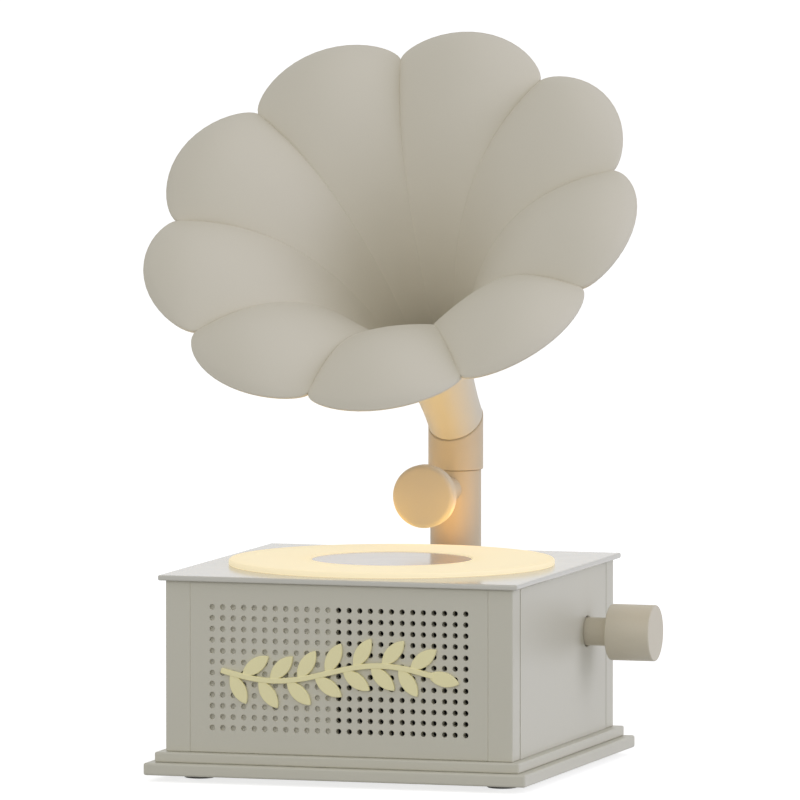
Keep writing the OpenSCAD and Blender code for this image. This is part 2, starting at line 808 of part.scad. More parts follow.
module battery_cradle() {
    w = cell_d + 2 * cradle_wall;
    l = cell_l + 4 * cradle_wall;
    hollow_l = cell_l + 2 * cell_play + 1.1;
    color([0.12, 0.12, 0.12]) difference() {
        block([cell_x - w / 2, cell_y - l / 2, z_floor + touch], [cell_x + w / 2, cell_y + l / 2, cell_z + 2]);
        translate([cell_x, cell_y - cell_l / 2 - cell_play, cell_z]) rotate([-90, 0, 0])
            cylinder(d = cell_d + 2 * clr, h = hollow_l);
        translate([cell_x - cell_d / 2 - clr, cell_y - cell_l / 2 - cell_play, cell_z])
            cube([cell_d + 2 * clr, hollow_l, cell_d]);
    }
}

// Column: bracket on the back panel, tube, stem and sound box

bracket_wall = 3.4;
bracket_in = 8;
bracket_r = tube_r + bracket_wall;
bracket_z0 = z_floor + bracket_in;
bracket_z1 = z_roof - bracket_in;
socket_floor = 4;
bracket_screw_x = tube_r - 2.4;
bracket_screw_in = 10;
clamp_d = 4;

module at_bracket_screws() {
    for (sx = [-1, 1], z = [bracket_z0 + bracket_screw_in, bracket_z1 - bracket_screw_in])
        translate([sx * bracket_screw_x, inner, z]) rotate([-90, 0, 0]) children();
}

module bracket_screw_holes() {
    at_bracket_screws() translate([0, 0, -1]) cylinder(d = screw_d + 2 * touch, h = panel_t + 8.5, $fn = 24);
}

module column_bracket() {
    color([0.68, 0.67, 0.61]) difference() {
        union() {
            translate([0, column_y, bracket_z0]) cylinder(r = bracket_r, h = bracket_z1 - bracket_z0);
            block([-bracket_r, half + touch, bracket_z0], [bracket_r, column_y, bracket_z1]);
        }
        translate([0, column_y, bracket_z0 + socket_floor]) cylinder(r = tube_r + touch, h = box_h);
        bracket_screw_holes();
        clamp_at() cylinder(d = clamp_d + 2 * touch, h = bracket_r, $fn = 24);
    }
}

module bracket_screws() {
    color([0.75, 0.75, 0.77]) at_bracket_screws() screw(panel_t + 7);
}

module clamp_at() {
    translate([0, column_y + tube_r, (bracket_z0 + bracket_z1) / 2]) rotate([-90, 0, 0]) children();
}

module clamp_screw() {
    color([0.3, 0.3, 0.32]) clamp_at() translate([0, 0, touch]) difference() {
        cylinder(d = clamp_d, h = bracket_wall - 0.4, $fn = 24);
        translate([0, 0, bracket_wall - 2]) cylinder(d = clamp_d / 2, h = 3, $fn = 6);
    }
}

sound_z = ring_z + sound_gap + sound_d / 2;
sound_edge = 3;
stem_shoulder = 1.3;
tenon_d = stem_d - 2 * stem_shoulder;
tenon_past = 3;
tenon_gap = 0.3;

module column_tube() {
    z0 = bracket_z0 + socket_floor + touch;
    color([0.75, 0.68, 0.55]) difference() {
        translate([0, column_y, z0]) cylinder(r = tube_r, h = tube_top - z0);
        translate([0, column_y, z0 - 1]) cylinder(r = bore_r, h = tube_top - z0 + 2);
        stem_tenon(touch, 4);
    }
}

module stem_tenon(grow = 0, past = 0) {
    translate([0, column_y - bore_r - tenon_gap + past, sound_z]) rotate([90, 0, 0])
        cylinder(d = tenon_d + 2 * grow, h = tube_wall + tenon_past + past);
}

module sound_box_stem() {
    color([0.76, 0.7, 0.58]) {
        difference() {
            translate([0, column_y - sound_reach + sound_t / 2 + touch, sound_z]) rotate([-90, 0, 0])
                cylinder(d = stem_d, h = sound_reach - sound_t / 2 - touch);
            translate([0, column_y, sound_z - sound_d]) cylinder(r = tube_r + touch, h = 2 * sound_d);
        }
        stem_tenon();
    }
}

module sound_box() {
    r = sound_d / 2;
    edge = sound_edge;
    color([0.78, 0.71, 0.58]) translate([0, column_y - sound_reach - sound_t / 2, sound_z]) rotate([-90, 0, 0])
        rotate_extrude() polygon(concat(
            [[0, 0]],
            [for (a = [0 : 15 : 90]) [r - edge + edge * sin(a), edge - edge * cos(a)]],
            [for (a = [0 : 15 : 90]) [r - edge + edge * cos(a), sound_t - edge + edge * sin(a)]],
            [[0, sound_t]]
        ));
}

// Horn: mitred elbow tube and the bell

spigot_l = 24;
spigot_wall = 1.8;
collar_t = 3;
elbow_gap = 0.2;
elbow_z0 = tube_top + elbow_gap;

// Everything above the mitre plane
module above_mitre(gap) {
    reach = 2 * elbow_d;
    translate([0, column_y, mitre_z]) rotate([mitre_deg, 0, 0]) translate([-reach, -reach, -gap]) cube(2 * reach);
}

module horn_elbow() {
    color([0.78, 0.7, 0.56]) difference() {
        union() {
            translate([0, column_y, elbow_z0]) cylinder(r = elbow_r, h = mitre_z - elbow_z0 + elbow_r);
            translate([0, column_y, elbow_z0 - spigot_l]) cylinder(r = bore_r - run, h = spigot_l + 1);
        }
        translate([0, column_y, elbow_z0 - spigot_l - 1])
            cylinder(r = bore_r - run - spigot_wall, h = spigot_l + collar_t + 2);
        translate([0, column_y, elbow_z0 + collar_t]) cylinder(r = elbow_r - horn_wall, h = mitre_z);
        above_mitre(touch);
    }
}

rings = 24;
petal_steps = 8;
first_deg = 3;
ring_crowd = 1.3;
neck_blend = 70;
lobe_power = 0.75;
rim_power = 0.58;
swell_start = 1.1;
swell_end = 6;
tip_swell = 0.22;
neck_full = 0.25;
neck_r = elbow_r - neck_step + neck_full;
throat_r = neck_r - horn_wall;
step_deg = 360 / petals;
across = petals * petal_steps;

// The horn's axis crosses the column's axis where its neck runs on, a step inside the elbow's front edge
axis_z = mitre_z - elbow_r * tan(mitre_deg) - elbow_r / tan(horn_tilt) + (neck_r + neck_step) / sin(horn_tilt);
horn_at = [0, column_y, axis_z];
along = [0, -sin(horn_tilt), cos(horn_tilt)];
upward = [0, cos(horn_tilt), sin(horn_tilt)];
seam_up = [0, cos(mitre_deg), sin(mitre_deg)];

// 0 to 1 with a soft start and end
function ease(x) = let (c = min(1, max(0, x))) c * c * (3 - 2 * c);

// Crease line between petals: distance along the axis and radius at angle a of the flare
function crease_t(a) = horn_l * sin(a);
function crease_r(a) = throat_r + (mouth_r - throat_r) * (1 - pow(cos(a), flare));
// Its normal, which points into the horn
function crease_n(a) = let (
    n = [(mouth_r - throat_r) * flare * sin(a), -horn_l * pow(cos(a), 2 - flare)]
) n / norm(n);

// Angle of the flare at ring i; the rings crowd towards the rim
function ring_deg(i) = first_deg + (90 - first_deg) * (1 - pow(1 - (i - 1) / (rings - 1), ring_crowd));

// Place across a petal, -1 and 1 in its creases and 0 on its middle line
function petal_x(j) = sin(90 * (2 * (j % petal_steps) / petal_steps - 1));
function petal_deg(j) = step_deg * (floor(j / petal_steps) + petal_x(j) / 2);
function lobe(j, power) = pow(max(0, cos(90 * petal_x(j))), power);

// A point of the bell at angle a of the flare; depth is 0 on the inside and horn_wall on the outside
function bell_pt(a, j, depth) = let (
    t = crease_t(a),
    r = crease_r(a),
    n = crease_n(a),
    open = (r - throat_r) / (mouth_r - throat_r),
    rise = swell * r * sin(step_deg / 2) * pow(open, swell_start) * (1 - (1 - tip_swell) * pow(open, swell_end)),
    pad = rise * lobe(j, lobe_power) - depth,
    tt = t + n[0] * pad,
    rr = r + n[1] * pad + petal_tip * pow(open, 3) * lobe(j, rim_power),
    th = petal_deg(j)
) horn_at + tt * along + rr * (cos(th) * [1, 0, 0] + sin(th) * upward);

// The first ring lies in the mitre plane, on the elbow's end
function seam_pt(j, depth) = let (
    r = elbow_r - neck_step - horn_wall + depth,
    th = petal_deg(j)
) [0, column_y, mitre_z] + r * (cos(th) * [1, 0, 0] + sin(th) / cos(mitre_deg) * seam_up);

// Along the neck, the seam's shape fades into the bell's
function horn_pt(i, j, depth) = let (
    a = i == 0 ? 0 : ring_deg(i),
    left = 1 - ease(crease_t(a) / neck_blend)
) bell_pt(a, j, depth) + left * (seam_pt(j, depth) - bell_pt(0, j, depth));

module horn_bell() {
    inside = [for (i = [0 : rings], j = [0 : across - 1]) horn_pt(i, j, 0)];
    outside = [for (i = [0 : rings], j = [0 : across - 1]) horn_pt(i, j, horn_wall)];
    shift = (rings + 1) * across;
    function id(i, j) = i * across + j % across;
    skin = [for (i = [0 : rings - 1], j = [0 : across - 1]) each [
        [id(i, j), id(i + 1, j), id(i + 1, j + 1)], [id(i, j), id(i + 1, j + 1), id(i, j + 1)]
    ]];
    back = [for (f = skin) [f[2] + shift, f[1] + shift, f[0] + shift]];
    ends = [for (j = [0 : across - 1]) each [
        [id(0, j), id(0, j + 1), id(0, j + 1) + shift], [id(0, j), id(0, j + 1) + shift, id(0, j) + shift],
        [id(rings, j + 1), id(rings, j), id(rings, j) + shift],
        [id(rings, j + 1), id(rings, j) + shift, id(rings, j + 1) + shift]
    ]];
    color([0.74, 0.725, 0.675]) polyhedron(concat(inside, outside), concat(skin, back, ends));
}

foot(-1, -1);  // foot_front_left
foot(1, -1);  // foot_front_right
foot(-1, 1);  // foot_back_left
foot(1, 1);  // foot_back_right
lower_plinth();
upper_plinth();
base_screws();
post(-1, -1);  // post_front_left
post(1, -1);  // post_front_right
post(-1, 1);  // post_back_left
post(1, 1);  // post_back_right
front_grille();
left_panel();
right_panel();
back_panel();
top_plate();
front_ornament();
grille_cloth();
speaker_gasket();
speaker_basket();
speaker_screws();
speaker_surround();
speaker_cone();
dust_cap();
voice_coil();
speaker_magnet();
speaker_yoke();
light_tray();
tray_screws();
led_board();
led_chips();
light_ring();
label_disc();
encoder_bracket();
encoder_screws();
encoder_body();
encoder_spindle();
knob_shaft();
side_knob();
main_board();
board_parts();
board_standoffs();
board_screws();
usb_socket();
battery_cradle();
battery_cell();
column_bracket();
bracket_screws();
clamp_screw();
column_tube();
sound_box_stem();
sound_box();
horn_elbow();
horn_bell();
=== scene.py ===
"""Gramophone-shaped table speaker with a glowing ring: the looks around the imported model."""

import math

import bpy
from mathutils import Matrix, Vector


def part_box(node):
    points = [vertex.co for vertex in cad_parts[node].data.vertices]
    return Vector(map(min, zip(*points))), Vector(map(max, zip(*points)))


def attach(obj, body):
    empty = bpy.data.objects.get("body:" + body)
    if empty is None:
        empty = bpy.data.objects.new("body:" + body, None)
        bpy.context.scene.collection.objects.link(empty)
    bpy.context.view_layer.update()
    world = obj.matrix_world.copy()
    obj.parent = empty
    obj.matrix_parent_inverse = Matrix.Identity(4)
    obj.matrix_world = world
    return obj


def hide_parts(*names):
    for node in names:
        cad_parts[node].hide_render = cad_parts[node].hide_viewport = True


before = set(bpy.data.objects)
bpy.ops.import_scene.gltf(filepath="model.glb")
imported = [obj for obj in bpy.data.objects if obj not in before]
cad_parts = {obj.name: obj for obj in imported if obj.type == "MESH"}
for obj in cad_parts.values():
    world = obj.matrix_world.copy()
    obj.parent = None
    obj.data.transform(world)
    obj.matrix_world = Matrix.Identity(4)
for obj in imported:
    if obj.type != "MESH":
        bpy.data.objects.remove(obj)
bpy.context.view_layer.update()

MM = 0.001
AXES = {"X": Vector((1, 0, 0)), "Y": Vector((0, 1, 0)), "Z": Vector((0, 0, 1))}


# Sizes that the model's parts give

PLATE_LOW, PLATE_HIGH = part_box("top_plate")
RING_LOW, RING_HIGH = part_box("light_ring")
DISC_LOW, DISC_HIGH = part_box("label_disc")
TUBE_LOW, TUBE_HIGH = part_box("column_tube")
ELBOW_LOW, ELBOW_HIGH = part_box("horn_elbow")
BRACKET_LOW, BRACKET_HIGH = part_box("column_bracket")
SOUND_LOW, SOUND_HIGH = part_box("sound_box")
STEM_LOW, STEM_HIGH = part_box("sound_box_stem")
KNOB_LOW, KNOB_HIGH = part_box("side_knob")
SHAFT_LOW, SHAFT_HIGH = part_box("knob_shaft")

BOX_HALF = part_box("post_front_right")[1].x
BOX_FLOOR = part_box("post_front_right")[0].z
BOX_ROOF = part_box("post_front_right")[1].z
POST_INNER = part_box("post_front_right")[0].x
PANEL_INNER = -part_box("front_grille")[1].y
COLUMN_Y = (TUBE_LOW.y + TUBE_HIGH.y) / 2
TUBE_R = TUBE_HIGH.x
ELBOW_R = ELBOW_HIGH.x

# Sizes of the same model that its parts' boxes don't give

TONGUE = 2 * MM
HOLE_COLS = 25
HOLE_ROWS = 12
BLIND_COLS = 12
HOLE_PITCH = 4.87 * MM
HOLE_R = 1.2 * MM
BLIND_DEPTH = 1.9 * MM
RING_NECK_R = 69.95 * MM
MITRE_Z = 148.5 * MM
MITRE = math.radians(35)
TUBE_WALL = 1.8 * MM
ELBOW_FOOT_Z = 126.2 * MM
BASE_SCREW_AT = 74.25 * MM


# Modelling by hand

# Roundings of half a piece's height are smaller by this, so that two of them never meet.
HAIR = 0.02 * MM


def deselect():
    """Nothing stays selected, so that the next operator acts on the new piece alone."""
    bpy.ops.object.select_all(action="DESELECT")


def choose(piece):
    """The piece is the only one selected, and the active one."""
    deselect()
    piece.select_set(True)
    bpy.context.view_layer.objects.active = piece


def settle(piece):
    """Puts the piece's place into its mesh, so that its object is unturned at the origin."""
    choose(piece)
    bpy.ops.object.transform_apply(location=True, rotation=True, scale=True)
    return piece


def block(low, high, edge=0.0, segments=3):
    """A block between two corners, its edges rounded by edge."""
    low, high = Vector(low), Vector(high)
    deselect()
    bpy.ops.mesh.primitive_cube_add(size=1, location=(low + high) / 2)
    piece = bpy.context.object
    piece.scale = high - low
    settle(piece)
    if edge:
        round_edges(piece, edge, segments)
    return piece


def rod(radius, start, length, axis="Z", sides=96):
    """A cylinder that starts at a point and runs along an axis."""
    turn = {"X": (0, math.pi / 2, 0), "Y": (-math.pi / 2, 0, 0), "Z": (0, 0, 0)}[axis]
    middle = Vector(start) + AXES[axis] * length / 2
    deselect()
    bpy.ops.mesh.primitive_cylinder_add(
        vertices=sides, radius=radius, depth=length, location=middle, rotation=turn
    )
    return settle(bpy.context.object)


def drawn(points):
    """A chain of edges through points, left in edit mode with all of it selected."""
    deselect()
    bpy.ops.mesh.primitive_plane_add(size=MM, location=(0, 0, 0))
    bpy.ops.object.mode_set(mode="EDIT")
    bpy.ops.mesh.select_all(action="SELECT")
    bpy.ops.mesh.merge(type="CENTER")
    bpy.ops.transform.translate(value=points[0])
    for here, there in zip(points, points[1:]):
        bpy.ops.mesh.extrude_region_move(TRANSFORM_OT_translate={"value": there - here})
    bpy.ops.mesh.select_all(action="SELECT")
    return bpy.context.object


def turned(profile, start, axis="Z", sides=96):
    """A turned part: a chain of (radius, height) points spun round an axis through start."""
    piece = drawn([Vector((radius, 0, height)) for radius, height in profile])
    bpy.ops.mesh.spin(steps=sides, angle=2 * math.pi, center=(0, 0, 0), axis=(0, 0, 1))
    bpy.ops.mesh.select_all(action="SELECT")
    bpy.ops.mesh.remove_doubles(threshold=0.001 * MM)
    bpy.ops.mesh.normals_make_consistent(inside=False)
    bpy.ops.object.mode_set(mode="OBJECT")
    turn = {"X": Matrix.Rotation(math.pi / 2, 4, "Y"), "Y": Matrix.Rotation(-math.pi / 2, 4, "X")}
    piece.matrix_world = Matrix.Translation(start) @ turn.get(axis, Matrix.Identity(4))
    return settle(piece)


def arc(centre, radius, first, last, steps):
    """Points (radius, height) on an arc in a profile, angles in degrees from the radius direction."""
    angles = [math.radians(first + (last - first) * k / steps) for k in range(steps + 1)]
    return [(centre[0] + radius * math.cos(a), centre[1] + radius * math.sin(a)) for a in angles]


def apply_modifier(piece, kind, **settings):
    """Adds a modifier with its settings and applies it."""
    choose(piece)
    modifier = piece.modifiers.new(kind.lower(), kind)
    for key, value in settings.items():
        setattr(modifier, key, value)
    bpy.ops.object.modifier_apply(modifier=modifier.name)
    return piece


def round_edges(piece, width, segments=3, angle=35):
    """Rounds every edge that turns by more than an angle."""
    limit = math.radians(angle)
    return apply_modifier(
        piece, "BEVEL", width=width, segments=segments, limit_method="ANGLE", angle_limit=limit
    )


def cut(piece, *cutters):
    """Cuts the shapes of the cutters out of the piece."""
    for cutter in cutters:
        apply_modifier(piece, "BOOLEAN", object=cutter, operation="DIFFERENCE", solver="EXACT")
        bpy.data.objects.remove(cutter)
    return piece


def join(piece, *others):
    """Makes several meshes one piece."""
    deselect()
    for other in others:
        other.select_set(True)
    piece.select_set(True)
    bpy.context.view_layer.objects.active = piece
    bpy.ops.object.join()
    return piece


def copied(piece, move):
    """A copy of a piece with a mesh of its own, moved by a matrix."""
    copy = piece.copy()
    copy.data = piece.data.copy()
    copy.data.transform(move)
    bpy.context.scene.collection.objects.link(copy)
    return copy


def finish(piece, name, body, slot, material, *nodes, angle=30):
    """Names a piece, gives it its finish and its body, and lets it stand for its CAD nodes."""
    settle(piece)
    bpy.ops.object.shade_smooth_by_angle(angle=math.radians(angle))
    apply_modifier(piece, "WEIGHTED_NORMAL", keep_sharp=True)
    piece.name = name
    piece.data.name = name
    piece.data.materials.clear()
    piece.data.materials.append(material)
    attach(piece, body)
    if nodes:
        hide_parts(*nodes)
    return piece


# Materials


def srgb(red, green, blue):
    """A colour as it is seen, 0 to 255, as the linear colour that Blender stores."""
    seen = [channel / 255 for channel in (red, green, blue)]
    linear = [c / 12.92 if c <= 0.04045 else ((c + 0.055) / 1.055) ** 2.4 for c in seen]
    return (*linear, 1)


def link(tree, source, target):
    """Joins two sockets."""
    tree.links.new(source, target)


def new_group(name, inputs, outputs):
    """An empty node group with named sockets; returns its tree and its input and output nodes."""
    tree = bpy.data.node_groups.new(name, "ShaderNodeTree")
    for label, kind, value in inputs:
        tree.interface.new_socket(label, in_out="INPUT", socket_type=kind).default_value = value
    for label, kind in outputs:
        tree.interface.new_socket(label, in_out="OUTPUT", socket_type=kind)
    return tree, tree.nodes.new("NodeGroupInput"), tree.nodes.new("NodeGroupOutput")


def math_node(tree, operation, first, second):
    """A Math node of two values, each a socket or a number; returns its result."""
    node = tree.nodes.new("ShaderNodeMath")
    node.operation = operation
    for socket, value in zip(node.inputs, (first, second)):
        if isinstance(value, bpy.types.NodeSocket):
            link(tree, value, socket)
        else:
            socket.default_value = value
    return node.outputs[0]


def noise(tree, scale, detail=3.0):
    """A noise on Object coordinates; scale, a socket or a number, is in cells per metre."""
    node = tree.nodes.new("ShaderNodeTexNoise")
    place = tree.nodes.new("ShaderNodeTexCoord")
    link(tree, place.outputs["Object"], node.inputs["Vector"])
    if isinstance(scale, bpy.types.NodeSocket):
        link(tree, scale, node.inputs["Scale"])
    else:
        node.inputs["Scale"].default_value = scale
    node.inputs["Detail"].default_value = detail
    node.inputs["Roughness"].default_value = 0.5
    return node.outputs["Fac"]


SHEEN = 0.5
SHEEN_SPREAD = 0.06
TONE = 0.03
GRAIN = 1500.0
CLOUDS = 22.0
UNEVEN_SPOTS = 90.0


def around_zero(tree, value):
    """A noise that swings round zero instead of a half."""
    return math_node(tree, "SUBTRACT", value, 0.5)


def make_paint_skin():
    """Sprayed paint or moulded plastic: cloudy tone, fine grain and a slightly uneven sheen."""
    tree, given, made = new_group(
        "paint_skin",
        [
            ("Colour", "NodeSocketColor", (0.5, 0.5, 0.5, 1)),
            ("Tone", "NodeSocketFloat", TONE),
            ("Grain per metre", "NodeSocketFloat", GRAIN),
            ("Sheen", "NodeSocketFloat", SHEEN),
            ("Sheen spread", "NodeSocketFloat", SHEEN_SPREAD),
        ],
        [
            ("Colour", "NodeSocketColor"),
            ("Roughness", "NodeSocketFloat"),
            ("Height", "NodeSocketFloat"),
        ],
    )
    cloud = noise(tree, CLOUDS, 4.0)
    grain = noise(tree, given.outputs["Grain per metre"], 2.0)
    swing = math_node(tree, "MULTIPLY", around_zero(tree, cloud), given.outputs["Tone"])
    speck = math_node(tree, "MULTIPLY", around_zero(tree, grain), given.outputs["Tone"])
    value = math_node(tree, "ADD", math_node(tree, "ADD", 1.0, swing), speck)
    tint = tree.nodes.new("ShaderNodeHueSaturation")
    link(tree, value, tint.inputs["Value"])
    link(tree, given.outputs["Colour"], tint.inputs["Color"])
    link(tree, tint.outputs["Color"], made.inputs["Colour"])
    uneven = around_zero(tree, noise(tree, UNEVEN_SPOTS))
    spread = math_node(tree, "MULTIPLY", uneven, given.outputs["Sheen spread"])
    link(tree, math_node(tree, "ADD", given.outputs["Sheen"], spread), made.inputs["Roughness"])
    link(tree, grain, made.inputs["Height"])
    return tree


PAINT_SKIN = make_paint_skin()


def painted(name, colour, sheen=SHEEN, tone=TONE, grain=GRAIN, relief=0.02, metallic=0.0):
    """A material of the paint skin: colour as seen, sheen as roughness, relief in millimetres."""
    material = bpy.data.materials.new(name)
    material.use_nodes = True
    tree = material.node_tree
    shader = tree.nodes["Principled BSDF"]
    skin = tree.nodes.new("ShaderNodeGroup")
    skin.node_tree = PAINT_SKIN
    skin.inputs["Colour"].default_value = colour
    skin.inputs["Tone"].default_value = tone
    skin.inputs["Grain per metre"].default_value = grain
    skin.inputs["Sheen"].default_value = sheen
    bump = tree.nodes.new("ShaderNodeBump")
    bump.inputs["Strength"].default_value = 1.0
    bump.inputs["Distance"].default_value = relief * MM
    link(tree, skin.outputs["Height"], bump.inputs["Height"])
    link(tree, skin.outputs["Colour"], shader.inputs["Base Color"])
    link(tree, skin.outputs["Roughness"], shader.inputs["Roughness"])
    link(tree, bump.outputs["Normal"], shader.inputs["Normal"])
    shader.inputs["Metallic"].default_value = metallic
    return material


GLOW_BASE = srgb(204, 198, 172)
GLOW_EDGE = srgb(251, 232, 192)
GLOW_MIDDLE = srgb(251, 236, 200)
GLOW_STRENGTH = 0.57
GLOW_GLOSS = 0.25


def make_glow():
    """Milky diffuser, lit from inside: brightest over the lamps, warmer at its edges."""
    material = painted("glowing_diffuser", GLOW_BASE, sheen=0.7, relief=0.005)
    tree = material.node_tree
    shader = tree.nodes["Principled BSDF"]
    place = tree.nodes.new("ShaderNodeTexCoord")
    flat = tree.nodes.new("ShaderNodeVectorMath")
    flat.operation = "MULTIPLY"
    flat.inputs[1].default_value = (1, 1, 0)
    link(tree, place.outputs["Object"], flat.inputs[0])
    length = tree.nodes.new("ShaderNodeVectorMath")
    length.operation = "LENGTH"
    link(tree, flat.outputs["Vector"], length.inputs[0])
    band = tree.nodes.new("ShaderNodeMapRange")
    band.inputs["From Min"].default_value = DISC_HIGH.x
    band.inputs["From Max"].default_value = RING_HIGH.x
    link(tree, length.outputs["Value"], band.inputs["Value"])
    ramp = tree.nodes.new("ShaderNodeValToRGB")
    ramp.color_ramp.elements[0].color = GLOW_EDGE
    ramp.color_ramp.elements[1].color = GLOW_EDGE
    for spot in (0.2, 0.8):
        ramp.color_ramp.elements.new(spot).color = GLOW_MIDDLE
    link(tree, band.outputs["Result"], ramp.inputs["Fac"])
    link(tree, ramp.outputs["Color"], shader.inputs["Emission Color"])
    shader.inputs["Emission Strength"].default_value = GLOW_STRENGTH
    shader.inputs["Specular IOR Level"].default_value = GLOW_GLOSS
    return material


BOX_PAINT = painted("box_paint", srgb(211, 208, 193), sheen=0.4)
PLATE_PAINT = painted("plate_paint", srgb(212, 210, 200), sheen=0.14, relief=0.003)
HORN_PAINT = painted("horn_paint", srgb(221, 215, 199), sheen=0.55)
KNOB_PAINT = painted("knob_paint", srgb(218, 210, 190), sheen=0.45)
# The column, sound box, arm and sleeve share a beige paint made warmer and darker than the box's, as
# painted amber light from the ring: part paint, part painted glow.
COLUMN_PAINT_WITH_PAINTED_GLOW = painted("column_paint_with_painted_glow", srgb(211, 196, 170), sheen=0.45)
ORNAMENT_PAINT = painted("ornament_paint", srgb(252, 244, 192), sheen=0.5)
FEET_RUBBER = painted("feet_rubber", srgb(150, 148, 142), sheen=0.75, relief=0.05)
DISC_GLOSS = painted("disc_gloss", srgb(208, 204, 202), sheen=0.17, relief=0.001)
GLOW = make_glow()
STEEL = srgb(190, 190, 192)
BRIGHT_STEEL = srgb(200, 200, 202)
SCREW_STEEL = painted("screw_steel", STEEL, sheen=0.3, metallic=1.0, relief=0.004, grain=900)
INLET_STEEL = painted("inlet_steel", BRIGHT_STEEL, sheen=0.25, metallic=1.0, relief=0.002)
BLACK_STEEL = painted("black_steel", srgb(60, 60, 62), sheen=0.4, metallic=0.8, relief=0.004)


# Feet and plinth

# Each corner, and how many quarter turns it stands from the front right one.
CORNERS = {"front_left": 3, "front_right": 0, "back_left": 2, "back_right": 1}
FOOT_ROUND = 0.8 * MM
FOOT_HOLLOW = 0.8 * MM
HOLLOW_FLAT = 0.55
HOLLOW_MOUTH = 0.62
LOWER_ROUND = 1.0 * MM
UPPER_ROUND = 0.8 * MM
HEAD_R = 2.8 * MM
HEAD_PLAY = 0.15 * MM
HEAD_DEEP = 1.8 * MM
HEAD_ROUND = 0.3 * MM
SHANK_R = 1.5 * MM
SHANK_LAP = 0.1 * MM
RECESS = (Vector((0.35, 1.6, 0)) * MM, Vector((1.6, 0.35, 0)) * MM)


def make_feet():
    """Four rubber feet with a shallow hollow underneath."""
    low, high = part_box("foot_front_right")
    radius = (high.x - low.x) / 2
    height = high.z - low.z
    profile = [(0, FOOT_HOLLOW), (radius * HOLLOW_FLAT, FOOT_HOLLOW), (radius * HOLLOW_MOUTH, 0)]
    profile += arc((radius - FOOT_ROUND, FOOT_ROUND), FOOT_ROUND, -90, 0, 4)
    profile += [(radius, height), (0, height)]
    foot = turned(profile, ((low.x + high.x) / 2, (low.y + high.y) / 2, low.z), sides=48)
    for side in CORNERS:
        there = copied(foot, Matrix.Translation(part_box("foot_" + side)[0] - low))
        finish(there, "rubber_foot_" + side, "base", "feet", FEET_RUBBER, "foot_" + side)
    bpy.data.objects.remove(foot)


def base_screw_spots():
    """The places of the base screws, one under each corner post."""
    return [(x, y) for x in (-BASE_SCREW_AT, BASE_SCREW_AT) for y in (-BASE_SCREW_AT, BASE_SCREW_AT)]


def make_plinth():
    """Two stepped boards with rounded edges; the lower one is bored for the base screws."""
    for name, edge in (("lower_plinth", LOWER_ROUND), ("upper_plinth", UPPER_ROUND)):
        low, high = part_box(name)
        board = block(low, high, edge, 4)
        if name == "lower_plinth":
            for x, y in base_screw_spots():
                cut(board, rod(HEAD_R + HEAD_PLAY, (x, y, low.z - MM), HEAD_DEEP + MM, sides=32))
        finish(board, name + "_board", "base", "box", BOX_PAINT, name)


def make_base_screws():
    """Countersunk heads with a cross recess, seen from below."""
    low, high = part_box("base_screws")
    head = rod(HEAD_R, (0, 0, low.z), HEAD_DEEP, sides=32)
    round_edges(head, HEAD_ROUND, 2)
    middle = AXES["Z"] * low.z
    for half in RECESS:
        cut(head, block(middle - half - AXES["Z"] * MM, middle + half + AXES["Z"] * MM))
    shank_at = low.z + HEAD_DEEP - SHANK_LAP
    shank = rod(SHANK_R, (0, 0, shank_at), high.z - shank_at, sides=24)
    screw = join(head, shank)
    screws = [copied(screw, Matrix.Translation((x, y, 0))) for x, y in base_screw_spots()]
    bpy.data.objects.remove(screw)
    finish(join(*screws), "plinth_screws", "base", "screws", SCREW_STEEL, "base_screws")


# Box

# The front panel laps over the posts' rounded edges. The other three stop short of their posts.
FRONT_LAP = 0.3 * MM
FRONT_CHAMFER = 0.45 * MM
SIDE_SEAM = 0.8 * MM
SIDE_ROUND = 0.2 * MM
PANEL_PLAY = 0.05 * MM
POST_ROUND = 0.6 * MM
TONGUE_INSET = MM
TONGUE_LAP = 0.5 * MM
TONGUE_PLAY = 0.15 * MM
GROOVE_INSET = 0.95 * MM
HOLE_CHAMFER = 0.18 * MM
FACE_CLEAR = 0.01 * MM
CONE_DEPTH = 0.25 * MM
SHAFT_PLAY = 0.6 * MM
SHAFT_CHAMFER = 0.35 * MM
BORE_DEPTH = 6 * MM
INLET_PLAY = 0.25 * MM
PLATE_ROUND = 0.7 * MM
RING_PLAY = 0.15 * MM


def make_posts():
    """Corner posts with rounded edges and a groove for each panel's tongue."""
    low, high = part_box("post_front_right")
    post = block(low, high, POST_ROUND, 4)
    bottom, top = low.z - MM, high.z + MM
    groove_out = BOX_HALF - GROOVE_INSET
    groove_in = PANEL_INNER + GROOVE_INSET
    deep = POST_INNER + TONGUE + TONGUE_PLAY
    right_groove = block((groove_in, -deep, bottom), (groove_out, -POST_INNER + MM, top))
    front_groove = block((POST_INNER - MM, -groove_out, bottom), (deep, -groove_in, top))
    cut(post, right_groove, front_groove)
    for side, quarter in CORNERS.items():
        there = copied(post, Matrix.Rotation(math.radians(90 * quarter), 4, "Z"))
        finish(there, "corner_post_" + side, "base", "box", BOX_PAINT, "post_" + side)
    bpy.data.objects.remove(post)


def panel(quarter, extra=None, seam=SIDE_SEAM, edge=SIDE_ROUND, segments=3):
    """A panel with its two tongues, made at the front and turned by quarters of a turn."""
    half = POST_INNER - seam
    low_z, high_z = BOX_FLOOR + PANEL_PLAY, BOX_ROOF - PANEL_PLAY
    board = block((-half, -BOX_HALF, low_z), (half, -PANEL_INNER, high_z), edge, segments)
    reach = POST_INNER + TONGUE
    if extra:
        extra(board)
    for side in (-1, 1):
        left, right = sorted((side * (half - TONGUE_LAP), side * reach))
        face, back = -BOX_HALF + TONGUE_INSET, -PANEL_INNER - TONGUE_INSET
        board = join(board, block((left, face, low_z), (right, back, high_z)))
    board.rotation_euler.z = math.radians(90 * quarter)
    return settle(board)


